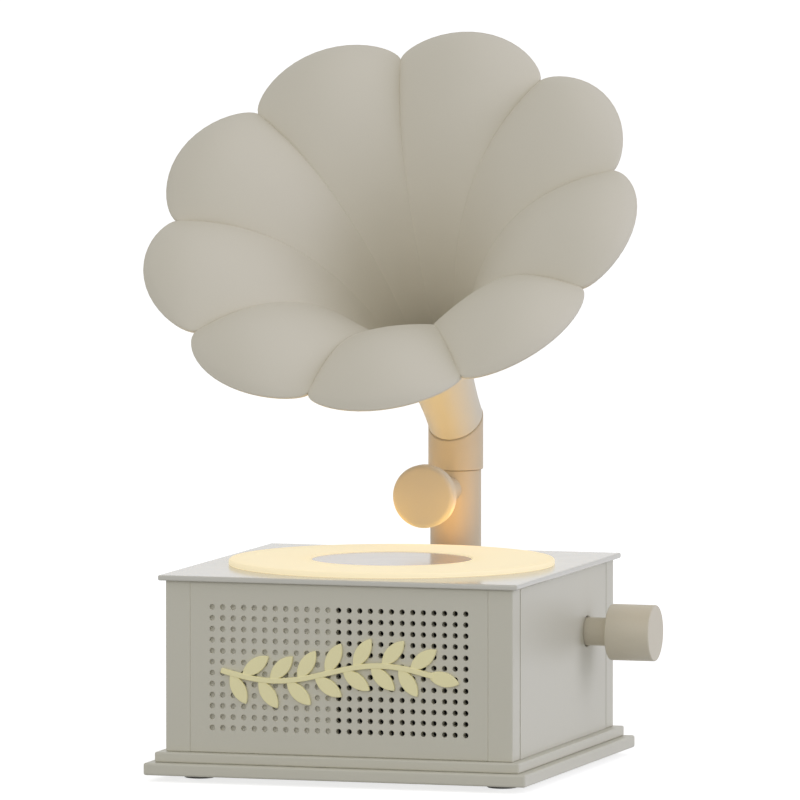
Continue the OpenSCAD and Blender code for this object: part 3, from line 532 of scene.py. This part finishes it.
def hole_cutter(x, z, depth):
    """A drill for one hole of the grille, with a small chamfer and, in a dimple, a shallow point."""
    deep = depth - CONE_DEPTH if depth == BLIND_DEPTH else depth
    mouth = HOLE_R + HOLE_CHAMFER
    profile = [(0, -FACE_CLEAR), (mouth, -FACE_CLEAR), (mouth, 0)]
    profile += [(HOLE_R, HOLE_CHAMFER), (HOLE_R, deep), (0, depth)]
    return turned(profile, (x, -BOX_HALF, z), "Y", sides=20)


def pierce(board):
    """Cuts the columns of dimples and of holes."""
    middle = (BOX_FLOOR + BOX_ROOF) / 2
    blind = hole_cutter(0, 0, BLIND_DEPTH)
    open_hole = hole_cutter(0, 0, BOX_HALF - PANEL_INNER + MM)
    copies = []
    for col in range(HOLE_COLS):
        x = (col - (HOLE_COLS - 1) / 2) * HOLE_PITCH
        for row in range(HOLE_ROWS):
            z = middle + (row - (HOLE_ROWS - 1) / 2) * HOLE_PITCH
            drill = blind if col < BLIND_COLS else open_hole
            copies.append(copied(drill, Matrix.Translation((x, 0, z))))
    bpy.data.objects.remove(blind)
    bpy.data.objects.remove(open_hole)
    cut(board, join(*copies))


def bore_shaft_hole(board):
    """The hole for the knob's shaft, its edge chamfered. The board is still at the front."""
    x = (SHAFT_LOW.y + SHAFT_HIGH.y) / 2
    z = (SHAFT_LOW.z + SHAFT_HIGH.z) / 2
    radius = (SHAFT_HIGH.z - SHAFT_LOW.z) / 2 + SHAFT_PLAY
    mouth = radius + SHAFT_CHAMFER
    profile = [(0, -MM), (mouth, -MM), (mouth, 0)]
    profile += [(radius, SHAFT_CHAMFER), (radius, BORE_DEPTH), (0, BORE_DEPTH)]
    cut(board, turned(profile, (x, -BOX_HALF, z), "Y"))


def bore_inlet(board):
    """The slot for the power inlet. The board is still at the front, so its sides are swapped."""
    low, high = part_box("usb_socket")
    middle = (low.z + high.z) / 2
    tall = high.z - low.z + 2 * INLET_PLAY
    slot = block(
        (-high.x - INLET_PLAY, -BOX_HALF - MM, middle - tall / 2),
        (-low.x + INLET_PLAY, -BOX_HALF + BORE_DEPTH, middle + tall / 2),
    )
    round_edges(slot, tall / 2 - HAIR, 6)
    cut(board, slot)


def make_panels():
    """Front grille, side panels and back panel."""
    front = panel(0, pierce, -FRONT_LAP, FRONT_CHAMFER, 1)
    finish(front, "grille_panel", "base", "box", BOX_PAINT, "front_grille")
    finish(panel(1, bore_shaft_hole), "right_side_panel", "base", "box", BOX_PAINT, "right_panel")
    finish(panel(2, bore_inlet), "back_side_panel", "base", "box", BOX_PAINT, "back_panel")
    finish(panel(3), "left_side_panel", "base", "box", BOX_PAINT, "left_panel")


def make_top_plate():
    """Thin plate with softly rounded edges and a round opening for the ring."""
    plate = block(PLATE_LOW, PLATE_HIGH, PLATE_ROUND, 4)
    cut(plate, rod(RING_NECK_R + RING_PLAY, (0, 0, PLATE_LOW.z - MM), 5 * MM, sides=192))
    finish(plate, "painted_top_plate", "base", "top", PLATE_PAINT, "top_plate")


# Light ring and disc

DISC_PLAY = 0.35 * MM
DISC_ROUND = 0.3 * MM
DISC_FLAT = 2 * MM
LEDGE_WIDTH = 1.05 * MM
LEDGE_PLAY = 0.1 * MM
SEAT_PLAY = 0.05 * MM
SEAT_ROUND = 0.2 * MM
RING_WALL = 2 * MM
BRIM_ROUND = 0.9 * MM
LIP_ROUND = 0.3 * MM


def make_ring():
    """Milky ring: a brim on the plate and a channel below it, open to the lamps."""
    outer, inner = RING_HIGH.x, DISC_HIGH.x + DISC_PLAY
    top, floor = RING_HIGH.z, RING_LOW.z
    roof = top - RING_WALL
    seat = PLATE_HIGH.z + SEAT_PLAY
    ledge = DISC_LOW.z - LEDGE_PLAY
    step = inner - LEDGE_WIDTH
    channel_in, channel_out = inner + RING_WALL, RING_NECK_R - RING_WALL
    profile = [(step, floor), (channel_in, floor), (channel_in, roof)]
    profile += [(channel_out, roof), (channel_out, floor), (RING_NECK_R, floor)]
    profile += [(RING_NECK_R, seat), (outer - SEAT_ROUND, seat), (outer, seat + SEAT_ROUND)]
    profile += arc((outer - BRIM_ROUND, top - BRIM_ROUND), BRIM_ROUND, 0, 90, 6)
    profile += arc((inner + LIP_ROUND, top - LIP_ROUND), LIP_ROUND, 90, 180, 3)
    profile += [(inner, ledge), (step, ledge), (step, floor)]
    ring = turned(profile, (0, 0, 0), sides=192)
    finish(ring, "milky_light_ring", "base", "diffuser", GLOW, "light_ring")


def make_disc():
    """Glossy disc in the middle of the ring."""
    radius, top = DISC_HIGH.x, DISC_HIGH.z
    profile = [(0, DISC_LOW.z), (radius, DISC_LOW.z)]
    profile += arc((radius - DISC_ROUND, top - DISC_ROUND), DISC_ROUND, 0, 90, 4)
    profile += [(radius - DISC_FLAT, top), (0, top)]
    disc = turned(profile, (0, 0, 0), sides=160)
    finish(disc, "glossy_disc", "base", "disc", DISC_GLOSS, "label_disc")


# Knob

KNOB_ROUND = 0.6 * MM
SHAFT_ROUND = 0.3 * MM


def make_knob():
    """Round knob with softly rounded ends on a plain shaft."""
    y, z = (KNOB_LOW.y + KNOB_HIGH.y) / 2, (KNOB_LOW.z + KNOB_HIGH.z) / 2
    radius = (KNOB_HIGH.z - KNOB_LOW.z) / 2
    knob = rod(radius, (KNOB_LOW.x, y, z), KNOB_HIGH.x - KNOB_LOW.x, "X", sides=128)
    round_edges(knob, KNOB_ROUND, 5)
    finish(knob, "turning_knob", "knob", "knob", KNOB_PAINT, "side_knob")
    shaft_r = (SHAFT_HIGH.z - SHAFT_LOW.z) / 2
    shaft = rod(shaft_r, (SHAFT_LOW.x, y, z), KNOB_LOW.x - SHAFT_LOW.x, "X")
    round_edges(shaft, SHAFT_ROUND)
    finish(shaft, "knob_spindle_sleeve", "knob", "knob", KNOB_PAINT, "knob_shaft")


# Column and sound box

TUBE_ROUND = 0.3 * MM
CAN_ROUND = 2.4 * MM
CAN_TILT = math.radians(9)
STEM_ROUND = 0.4 * MM
TUBE_FIT = 0.05 * MM
HOLDER_ROUND = 0.8 * MM
HOLDER_SEAT = 4 * MM
CLAMP_R = 2 * MM
CLAMP_PLAY = 0.1 * MM
CLAMP_ROUND = 0.25 * MM
KEY_R = 1.1 * MM
KEY_DEEP = 1.6 * MM
INLET_WALL = 0.3 * MM
INLET_FLOOR = MM
CONTACTS = Vector((6, 0, 0.7)) * MM
CONTACTS_LAP = 0.1 * MM
CONTACTS_BACK = 1.5 * MM


def make_column():
    """Tube from the bracket up to the elbow, its rims rounded."""
    low, high = TUBE_LOW.z, TUBE_HIGH.z
    bore = TUBE_R - TUBE_WALL
    profile = [(bore, low), (TUBE_R - TUBE_ROUND, low), (TUBE_R, low + TUBE_ROUND)]
    profile += arc((TUBE_R - TUBE_ROUND, high - TUBE_ROUND), TUBE_ROUND, 0, 90, 3)
    profile += [(bore, high), (bore, low)]
    pipe = turned(profile, (0, COLUMN_Y, 0))
    finish(pipe, "column_pipe", "base", "column", COLUMN_PAINT_WITH_PAINTED_GLOW, "column_tube")


def make_sound_box():
    """Round can with a domed face and soft edges, and the stem that carries it."""
    z = (SOUND_LOW.z + SOUND_HIGH.z) / 2
    radius = (SOUND_HIGH.z - SOUND_LOW.z) / 2
    thick = SOUND_HIGH.y - SOUND_LOW.y
    brim = radius - CAN_ROUND * (1 - math.sin(CAN_TILT))
    dome = brim * math.tan(CAN_TILT) / 2
    turn_r = radius - CAN_ROUND
    front = dome + CAN_ROUND * math.cos(CAN_TILT)
    profile = [(brim * k / 8, dome * (k / 8) ** 2) for k in range(8)]
    profile += arc((turn_r, front), CAN_ROUND, math.degrees(CAN_TILT) - 90, 0, 8)
    profile += arc((turn_r, thick - CAN_ROUND), CAN_ROUND, 0, 90, 8)
    profile += [(0, thick)]
    can = turned(profile, (0, SOUND_LOW.y, z), "Y", sides=128)
    finish(can, "sound_box_can", "base", "column", COLUMN_PAINT_WITH_PAINTED_GLOW, "sound_box")
    stem_r = (STEM_HIGH.x - STEM_LOW.x) / 2
    stem = rod(stem_r, (0, STEM_LOW.y, z), COLUMN_Y - STEM_LOW.y, "Y", sides=80)
    round_edges(stem, STEM_ROUND)
    cut(stem, rod(TUBE_R + TUBE_FIT, (0, COLUMN_Y, z - radius), 2 * radius, sides=128))
    finish(stem, "sound_box_arm", "base", "column", COLUMN_PAINT_WITH_PAINTED_GLOW, "sound_box_stem")


def make_bracket():
    """Block on the back panel that holds the column, with a clamp screw."""
    low, high = BRACKET_LOW, BRACKET_HIGH
    outer = high.x
    body = rod(outer, (0, COLUMN_Y, low.z), high.z - low.z)
    foot = block((-outer, low.y, low.z), (outer, COLUMN_Y, high.z))
    apply_modifier(body, "BOOLEAN", object=foot, operation="UNION", solver="EXACT")
    bpy.data.objects.remove(foot)
    round_edges(body, HOLDER_ROUND)
    cut(body, rod(TUBE_R + TUBE_FIT, (0, COLUMN_Y, low.z + HOLDER_SEAT), high.z))
    middle = (low.z + high.z) / 2
    hole_at = (0, COLUMN_Y + TUBE_R - MM, middle)
    cut(body, rod(CLAMP_R + CLAMP_PLAY, hole_at, 8 * MM, "Y", sides=32))
    finish(body, "column_holder", "base", "box", BOX_PAINT, "column_bracket")
    tip, head = (corner.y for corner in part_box("clamp_screw"))
    screw = rod(CLAMP_R, (0, tip, middle), head - tip, "Y", sides=32)
    round_edges(screw, CLAMP_ROUND, 2)
    key = rod(KEY_R, (0, head - KEY_DEEP, middle), 3 * MM, "Y", sides=6)
    finish(cut(screw, key), "holder_clamp_screw", "base", "soft_black", BLACK_STEEL, "clamp_screw")


def make_inlet():
    """Pressed metal shell of the power inlet with its contact tongue."""
    low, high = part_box("usb_socket")
    tall = high.z - low.z
    shell = block(low, high)
    round_edges(shell, tall / 2 - HAIR, 8)
    wall = Vector((INLET_WALL, 0, INLET_WALL))
    hollow = block(low + wall + INLET_FLOOR * AXES["Y"], high - wall + 3 * MM * AXES["Y"])
    round_edges(hollow, tall / 2 - INLET_WALL - HAIR, 8)
    cut(shell, hollow)
    front = Vector(((low.x + high.x) / 2, low.y + INLET_FLOOR - CONTACTS_LAP, (low.z + high.z) / 2))
    back = Vector((front.x, high.y - CONTACTS_BACK, front.z))
    tongue = block(front - CONTACTS / 2, back + CONTACTS / 2)
    finish(join(shell, tongue), "power_inlet_shell", "base", "steel", INLET_STEEL, "usb_socket")


# Horn: the model's own formula, on a finer mesh with a rounded rim

HORN_L = 138.9 * MM
HORN_TILT = math.radians(45.2)
MOUTH_R = 100.5 * MM
PETAL_TIP = 12.8 * MM
PETALS = 9
HORN_WALL = 2 * MM
FLARE = 0.8
SWELL = 0.68
HORN_RINGS = 60
PETAL_STEPS = 24
FIRST_SWEEP = math.radians(3)
RING_CROWD = 1.3
NECK_BLEND = 70 * MM
NECK_STEP = 0.3 * MM
NECK_FULL = 0.25 * MM
LOBE_POWER = 0.75
RIM_POWER = 0.58
SWELL_START = 1.1
SWELL_END = 6
TIP_SWELL = 0.22
RIM_STEPS = 6
NECK_R = ELBOW_R - NECK_STEP + NECK_FULL
GROOVE = 0.45 * MM
GROOVE_SWEEPS = (math.radians(0.2), math.radians(0.3))
THROAT_R = NECK_R - HORN_WALL
PETAL = 2 * math.pi / PETALS
SLEEVE_ROUND = 0.35 * MM
SLEEVE_FLOOR = 3 * MM
SPIGOT_PLAY = 0.08 * MM
SEAM_PLAY = 0.05 * MM

SEAM_DROP = ELBOW_R * (math.tan(MITRE) + 1 / math.tan(HORN_TILT))
AXIS_Z = MITRE_Z - SEAM_DROP + (NECK_R + NECK_STEP) / math.sin(HORN_TILT)
HORN_AT = Vector((0, COLUMN_Y, AXIS_Z))
ALONG = Vector((0, -math.sin(HORN_TILT), math.cos(HORN_TILT)))
UPWARD = Vector((0, math.cos(HORN_TILT), math.sin(HORN_TILT)))
SEAM_UP = Vector((0, math.cos(MITRE), math.sin(MITRE)))


def ease(value):
    """0 to 1 with a soft start and end."""
    value = min(1, max(0, value))
    return value * value * (3 - 2 * value)


def round_horn(angle):
    """The direction from the horn's axis at an angle round it."""
    return math.cos(angle) * AXES["X"] + math.sin(angle) * UPWARD


def bell_point(sweep, across, angle, depth):
    """A point of the bell. sweep is the angle along the flare, across is -1 to 1 over a petal."""
    t = HORN_L * math.sin(sweep)
    run = max(0, math.cos(sweep))
    opening = 1 - run**FLARE
    spread = MOUTH_R - THROAT_R
    r = THROAT_R + spread * opening
    normal = Vector((spread * FLARE * math.sin(sweep), -HORN_L * run ** (2 - FLARE)))
    normal.normalize()
    hump = max(0, math.cos(math.pi / 2 * across))
    fade = 1 - (1 - TIP_SWELL) * opening**SWELL_END
    rise = SWELL * r * math.sin(PETAL / 2) * opening**SWELL_START * fade
    pad = rise * hump**LOBE_POWER - depth
    reach = r + normal.y * pad + PETAL_TIP * opening**3 * hump**RIM_POWER
    return HORN_AT + (t + normal.x * pad) * ALONG + reach * round_horn(angle)


def seam_point(angle, depth):
    """A point of the oblique seam on top of the elbow."""
    radius = ELBOW_R - NECK_STEP - HORN_WALL + depth
    side = math.cos(angle) * AXES["X"] + math.sin(angle) / math.cos(MITRE) * SEAM_UP
    return Vector((0, COLUMN_Y, MITRE_Z)) + radius * side


def horn_section(step):
    """One section of the horn's wall: up the inside, round the rim and down the outside."""
    across = math.sin(math.pi / 2 * (2 * (step % PETAL_STEPS) / PETAL_STEPS - 1))
    angle = PETAL * (step // PETAL_STEPS + across / 2)
    shares = [1 - (1 - k / HORN_RINGS) ** RING_CROWD for k in range(HORN_RINGS + 1)]
    flare = [FIRST_SWEEP + (math.pi / 2 - FIRST_SWEEP) * share for share in shares]
    sweeps = [0, *GROOVE_SWEEPS, *flare]

    def wall(depth):
        stretch = seam_point(angle, depth) - bell_point(0, across, angle, depth)
        points = []
        for sweep in sweeps:
            left = 1 - ease(HORN_L * math.sin(sweep) / NECK_BLEND)
            pull = GROOVE if depth and sweep < GROOVE_SWEEPS[1] else 0
            shift = left * stretch - pull * round_horn(angle)
            points.append(bell_point(sweep, across, angle, depth) + shift)
        return points

    inside, outside = wall(0), wall(HORN_WALL)
    up = (inside[-1] - outside[-1]).normalized()
    out = round_horn(angle)
    centre = (inside[-1] + outside[-1]) / 2 - out * HORN_WALL / 2
    turns = [math.pi * k / RIM_STEPS for k in range(RIM_STEPS + 1)]
    rim = [centre + HORN_WALL / 2 * (math.cos(a) * up + math.sin(a) * out) for a in turns]
    return inside[:-1] + rim + outside[-2::-1]


def make_horn():
    """The bell: a ring of wall sections, one closed skin of nine petals."""
    sections = [horn_section(step) for step in range(PETALS * PETAL_STEPS)]
    deselect()
    bpy.ops.mesh.primitive_torus_add(major_segments=len(sections), minor_segments=len(sections[0]))
    horn = bpy.context.object
    points = [point for section in sections for point in section]
    for vertex, point in zip(horn.data.vertices, points):
        vertex.co = point
    bpy.ops.object.mode_set(mode="EDIT")
    bpy.ops.mesh.select_all(action="SELECT")
    bpy.ops.mesh.normals_make_consistent(inside=False)
    bpy.ops.object.mode_set(mode="OBJECT")
    finish(horn, "petalled_horn", "horn", "horn", HORN_PAINT, "horn_bell", angle=40)


def make_elbow():
    """Sleeve on top of the column, cut off along the seam, with a spigot inside the tube."""
    low, foot, top = ELBOW_LOW.z, ELBOW_FOOT_Z, MITRE_Z - SEAM_PLAY
    floor = foot + SLEEVE_FLOOR
    rim_r = ELBOW_R - SLEEVE_ROUND
    wall_r = ELBOW_R - HORN_WALL
    spigot_r = TUBE_R - TUBE_WALL - SPIGOT_PLAY
    bore_r = spigot_r - TUBE_WALL
    profile = [(bore_r, low), (spigot_r, low), (spigot_r, foot)]
    profile += arc((rim_r, foot + SLEEVE_ROUND), SLEEVE_ROUND, -90, 0, 3)
    profile += [(ELBOW_R, top - SLEEVE_ROUND), (rim_r, top), (wall_r, top), (wall_r, floor)]
    profile += [(bore_r, floor), (bore_r, low)]
    sleeve = turned(profile, (0, COLUMN_Y, 0))
    for vertex in sleeve.data.vertices:
        if vertex.co.z > top - MM:
            vertex.co.z += (vertex.co.y - COLUMN_Y) * math.tan(MITRE)
    finish(sleeve, "horn_sleeve", "horn", "horn", COLUMN_PAINT_WITH_PAINTED_GLOW, "horn_elbow")


# Ornament on the front

SPRIG_L = 98 * MM
SPRIG_RISE = 4 * MM
SPRIG_STEM = 2.4 * MM
SPRIG_STEPS = 48
LEAF_L = 15 * MM
LEAF_W = 6.5 * MM
LEAF_PAIRS = 7
LEAF_TURN = math.radians(48)
LEAF_ROOT = 0.4 * MM
LEAF_THIN = 0.3 * MM
LEAF_STEPS = 12
SPRIG_ROUND = 0.4 * MM
FIRST_LEAF = -0.86
LEAF_SPAN = 1.58
LEAF_STAGGER = 0.2
TIP_LEAF = 0.94


def sprig_place(u):
    """A point of the sprig's wavy stem, u from -1 to 1, and the stem's direction there."""
    point = Vector((u * SPRIG_L / 2, 0, SPRIG_RISE * math.sin(math.pi * u)))
    return point, math.atan2(SPRIG_RISE * math.pi * math.cos(math.pi * u), SPRIG_L / 2)


def cut_out(outline, thick):
    """A flat piece cut to an outline of points in the front plane, with rounded edges."""
    piece = drawn(outline)
    bpy.ops.mesh.edge_face_add()
    bpy.ops.mesh.extrude_region_move(TRANSFORM_OT_translate={"value": -AXES["Y"] * thick})
    bpy.ops.mesh.select_all(action="SELECT")
    bpy.ops.mesh.normals_make_consistent(inside=False)
    bpy.ops.object.mode_set(mode="OBJECT")
    return round_edges(piece, SPRIG_ROUND, 4, angle=60)


def leaf_outline():
    """Two equal arcs that meet in points at both ends, from the origin along +X."""
    radius = (LEAF_L**2 + LEAF_W**2) / 4 / LEAF_W
    half = math.asin(LEAF_L / 2 / radius)
    points = []
    for side in (1, -1):
        for k in range(LEAF_STEPS):
            angle = half * (1 - 2 * k / LEAF_STEPS)
            height = radius * math.cos(angle) - radius + LEAF_W / 2
            points.append(Vector((LEAF_L / 2 - side * radius * math.sin(angle), 0, side * height)))
    return points


def make_ornament():
    """The sprig: a wavy stem with pairs of leaves, thinner than it, and one leaf at its tip."""
    low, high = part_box("front_ornament")
    back, thick = high.y, high.y - low.y
    over, under = [], []
    for k in range(SPRIG_STEPS + 1):
        point, turn = sprig_place(2 * k / SPRIG_STEPS - 1)
        out = SPRIG_STEM / 2 * Vector((-math.sin(turn), 0, math.cos(turn)))
        over.append(point + out)
        under.append(point - out)
    stem = cut_out(over + under[::-1], thick)
    leaf = cut_out(leaf_outline(), thick - LEAF_THIN)
    spots = [(sprig_place(TIP_LEAF)[0], sprig_place(1)[1], 0)]
    for pair in range(LEAF_PAIRS):
        for side in (-1, 1):
            share = (pair + LEAF_STAGGER * side) / (LEAF_PAIRS - 1)
            point, turn = sprig_place(FIRST_LEAF + LEAF_SPAN * share)
            spots.append((point, turn + side * LEAF_TURN, LEAF_ROOT))
    leaves = []
    for point, turn, root in spots:
        along = Matrix.Rotation(-turn, 4, "Y") @ Matrix.Translation((root, 0, 0))
        leaves.append(copied(leaf, Matrix.Translation(point) @ along))
    bpy.data.objects.remove(leaf)
    sprig = join(stem, *leaves)
    left = min(vertex.co.x for vertex in sprig.data.vertices)
    bottom = min(vertex.co.z for vertex in sprig.data.vertices)
    sprig.location = (low.x - left, back, low.z - bottom)
    finish(sprig, "leaf_sprig", "base", "ornament", ORNAMENT_PAINT, "front_ornament")


# Inner parts keep the model's shapes and get a finish


def dress_inner_parts():
    """Finishes for the parts inside the box, by node name."""
    black_plastic = painted("black_plastic", srgb(38, 38, 40), sheen=0.5, relief=0.01)
    white_plastic = painted("white_plastic", srgb(236, 236, 233), sheen=0.45, relief=0.01)
    cloth = painted("grille_cloth_black", srgb(10, 10, 11), sheen=0.9, grain=2500, relief=0.1)
    foam = painted("soft_black_foam", srgb(30, 30, 31), sheen=0.85, relief=0.06)
    paper = painted("paper_cone", srgb(70, 70, 72), sheen=0.85, grain=700, relief=0.08)
    finishes = {
        cloth: ["grille_cloth"],
        foam: ["speaker_gasket", "speaker_surround"],
        painted("basket_steel", srgb(60, 60, 63), sheen=0.45, metallic=0.6): ["speaker_basket"],
        paper: ["speaker_cone", "dust_cap"],
        painted("coil_copper", srgb(200, 125, 70), sheen=0.3, metallic=1.0): ["voice_coil"],
        painted("magnet_ferrite", srgb(72, 72, 76), sheen=0.6): ["speaker_magnet"],
        painted("yoke_zinc", srgb(170, 170, 172), sheen=0.35, metallic=1.0): ["speaker_yoke"],
        SCREW_STEEL: [
            "speaker_screws",
            "tray_screws",
            "encoder_screws",
            "board_screws",
            "bracket_screws",
            "encoder_spindle",
        ],
        painted("standoff_brass", srgb(215, 180, 100), sheen=0.3, metallic=1.0): ["board_standoffs"],
        white_plastic: ["light_tray", "encoder_bracket"],
        black_plastic: ["battery_cradle", "encoder_body"],
        painted("board_green", srgb(28, 92, 58), sheen=0.35, tone=0.1): ["main_board"],
        painted("board_white", srgb(238, 238, 232), sheen=0.35): ["led_board"],
        painted("parts_grey", srgb(70, 72, 76), sheen=0.4, tone=0.2): ["board_parts"],
        painted("lamp_yellow", srgb(250, 235, 150), sheen=0.3): ["led_chips"],
        painted("cell_sleeve", srgb(66, 118, 158), sheen=0.3, tone=0.06): ["battery_cell"],
    }
    for material, nodes in finishes.items():
        for node in nodes:
            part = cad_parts[node]
            part.data.materials.clear()
            part.data.materials.append(material)


# Studio

CAMERA_AT = (1.5475, -5.0484, 0.5761)
CAMERA_TILT = 85.546
CAMERA_TURN = 17.002
CAMERA_LENS = 534.64
FLOOR_TONE = (0.62, 0.62, 0.62, 1)
FLOOR_LIFT = 0.76
FILL = 0.62
FILL_BEHIND = 0.2
FILL_FROM = (0.35, -0.6, 0.72)
FILL_SPAN = 0.7
FRONT_AT = (-0.4, -2.8, 1.3)
FRONT_SIZE = 0.9
FRONT_WATTS = 8.5
SIDE_AT = (2.7, 0.2, 1.1)
SIDE_SIZE = 1.4
SIDE_WATTS = 15.8
LOOK_AT = (0, 0, 0.15)
LAMP_SIZE = 40 * MM
GLOW_LAMPS = 10
GLOW_WATTS = 0.0088
SPILL_WATTS = 0.011
SPILL_OFFSET = Vector((2, -12, 3)) * MM
SPILL_HEIGHT = 0.13
COOL = (0.97, 0.98, 1.22)
AMBER = srgb(255, 198, 45)[:3]
DEEP_AMBER = srgb(255, 172, 30)[:3]


def make_camera():
    """The camera at the photograph's angle."""
    camera = bpy.data.objects.new("camera", bpy.data.cameras.new("camera"))
    bpy.context.scene.collection.objects.link(camera)
    camera.location = CAMERA_AT
    camera.rotation_euler = (math.radians(CAMERA_TILT), 0, math.radians(CAMERA_TURN))
    camera.data.sensor_width = 36
    camera.data.lens = CAMERA_LENS
    camera.data.clip_start = 0.1
    camera.data.clip_end = 200
    bpy.context.scene.camera = camera


def seen_by_eye(tree):
    """1 for camera, glossy and transmission rays, 0 for the rays that light the object."""
    path = tree.nodes.new("ShaderNodeLightPath")
    direct = math_node(tree, "MAXIMUM", path.outputs["Is Camera Ray"], path.outputs["Is Glossy Ray"])
    return math_node(tree, "MAXIMUM", direct, path.outputs["Is Transmission Ray"])


def make_floor():
    """Wide pale floor that looks near white and keeps the soft shadow."""
    deselect()
    bpy.ops.mesh.primitive_plane_add(size=120, location=(0, 0, 0))
    floor = bpy.context.object
    floor.name = "floor"
    material = bpy.data.materials.new("pale_floor")
    material.use_nodes = True
    tree = material.node_tree
    shader = tree.nodes["Principled BSDF"]
    shader.inputs["Base Color"].default_value = FLOOR_TONE
    shader.inputs["Roughness"].default_value = 0.9
    shader.inputs["Specular IOR Level"].default_value = 0.0
    shader.inputs["Emission Color"].default_value = (1, 1, 1, 1)
    lift = math_node(tree, "MULTIPLY", seen_by_eye(tree), FLOOR_LIFT)
    link(tree, lift, shader.inputs["Emission Strength"])
    floor.data.materials.append(material)


def make_world():
    """Soft light that is strongest from above the front, white where it is seen."""
    world = bpy.data.worlds.new("studio")
    bpy.context.scene.world = world
    world.use_nodes = True
    tree = world.node_tree
    background = tree.nodes["Background"]
    background.inputs["Color"].default_value = (1, 1, 1, 1)
    ray = tree.nodes.new("ShaderNodeTexCoord")
    facing = tree.nodes.new("ShaderNodeVectorMath")
    facing.operation = "DOT_PRODUCT"
    facing.inputs[1].default_value = FILL_FROM
    link(tree, ray.outputs["Generated"], facing.inputs[0])
    fill = tree.nodes.new("ShaderNodeMapRange")
    fill.inputs["From Min"].default_value = -FILL_SPAN
    fill.inputs["From Max"].default_value = FILL_SPAN
    fill.inputs["To Min"].default_value = FILL_BEHIND
    fill.inputs["To Max"].default_value = FILL
    link(tree, facing.outputs["Value"], fill.inputs["Value"])
    rest = math_node(tree, "SUBTRACT", 1, fill.outputs["Result"])
    lift = math_node(tree, "MULTIPLY", seen_by_eye(tree), rest)
    link(tree, math_node(tree, "ADD", lift, fill.outputs["Result"]), background.inputs["Strength"])


def area_light(name, place, target, size, watts, colour=(1, 1, 1)):
    """A square area light that looks at a target and isn't seen by the camera."""
    data = bpy.data.lights.new(name, "AREA")
    data.shape = "SQUARE"
    data.size = size
    data.energy = watts
    data.color = colour
    light = bpy.data.objects.new(name, data)
    bpy.context.scene.collection.objects.link(light)
    light.location = place
    light.rotation_euler = (Vector(target) - Vector(place)).to_track_quat("-Z", "Y").to_euler()
    light.visible_camera = False
    return light


def make_lights():
    """A large light before the front, another from the right, and the ring's own warm light."""
    area_light("front", FRONT_AT, LOOK_AT, FRONT_SIZE, FRONT_WATTS)
    area_light("side", SIDE_AT, LOOK_AT, SIDE_SIZE, SIDE_WATTS, COOL)
    spot = Vector((0, RING_HIGH.y, RING_HIGH.z)) + SPILL_OFFSET
    target = (0, COLUMN_Y, SPILL_HEIGHT)
    area_light("ring_spill", spot, target, LAMP_SIZE, SPILL_WATTS, DEEP_AMBER)
    radius = (RING_HIGH.x + DISC_HIGH.x) / 2
    for k in range(1, GLOW_LAMPS):
        angle = math.pi / 2 + 2 * math.pi * k / GLOW_LAMPS
        spot = Vector((radius * math.cos(angle), radius * math.sin(angle), RING_HIGH.z + MM))
        area_light(f"ring_glow_{k}", spot, spot + AXES["Z"], LAMP_SIZE, GLOW_WATTS, AMBER)


make_camera()
make_feet()
make_plinth()
make_base_screws()
make_posts()
make_panels()
make_top_plate()
make_ring()
make_disc()
make_knob()
make_column()
make_sound_box()
make_bracket()
make_inlet()
make_horn()
make_elbow()
make_ornament()
dress_inner_parts()
make_floor()
make_world()
make_lights()

bpy.context.scene.view_settings.view_transform = "Standard"
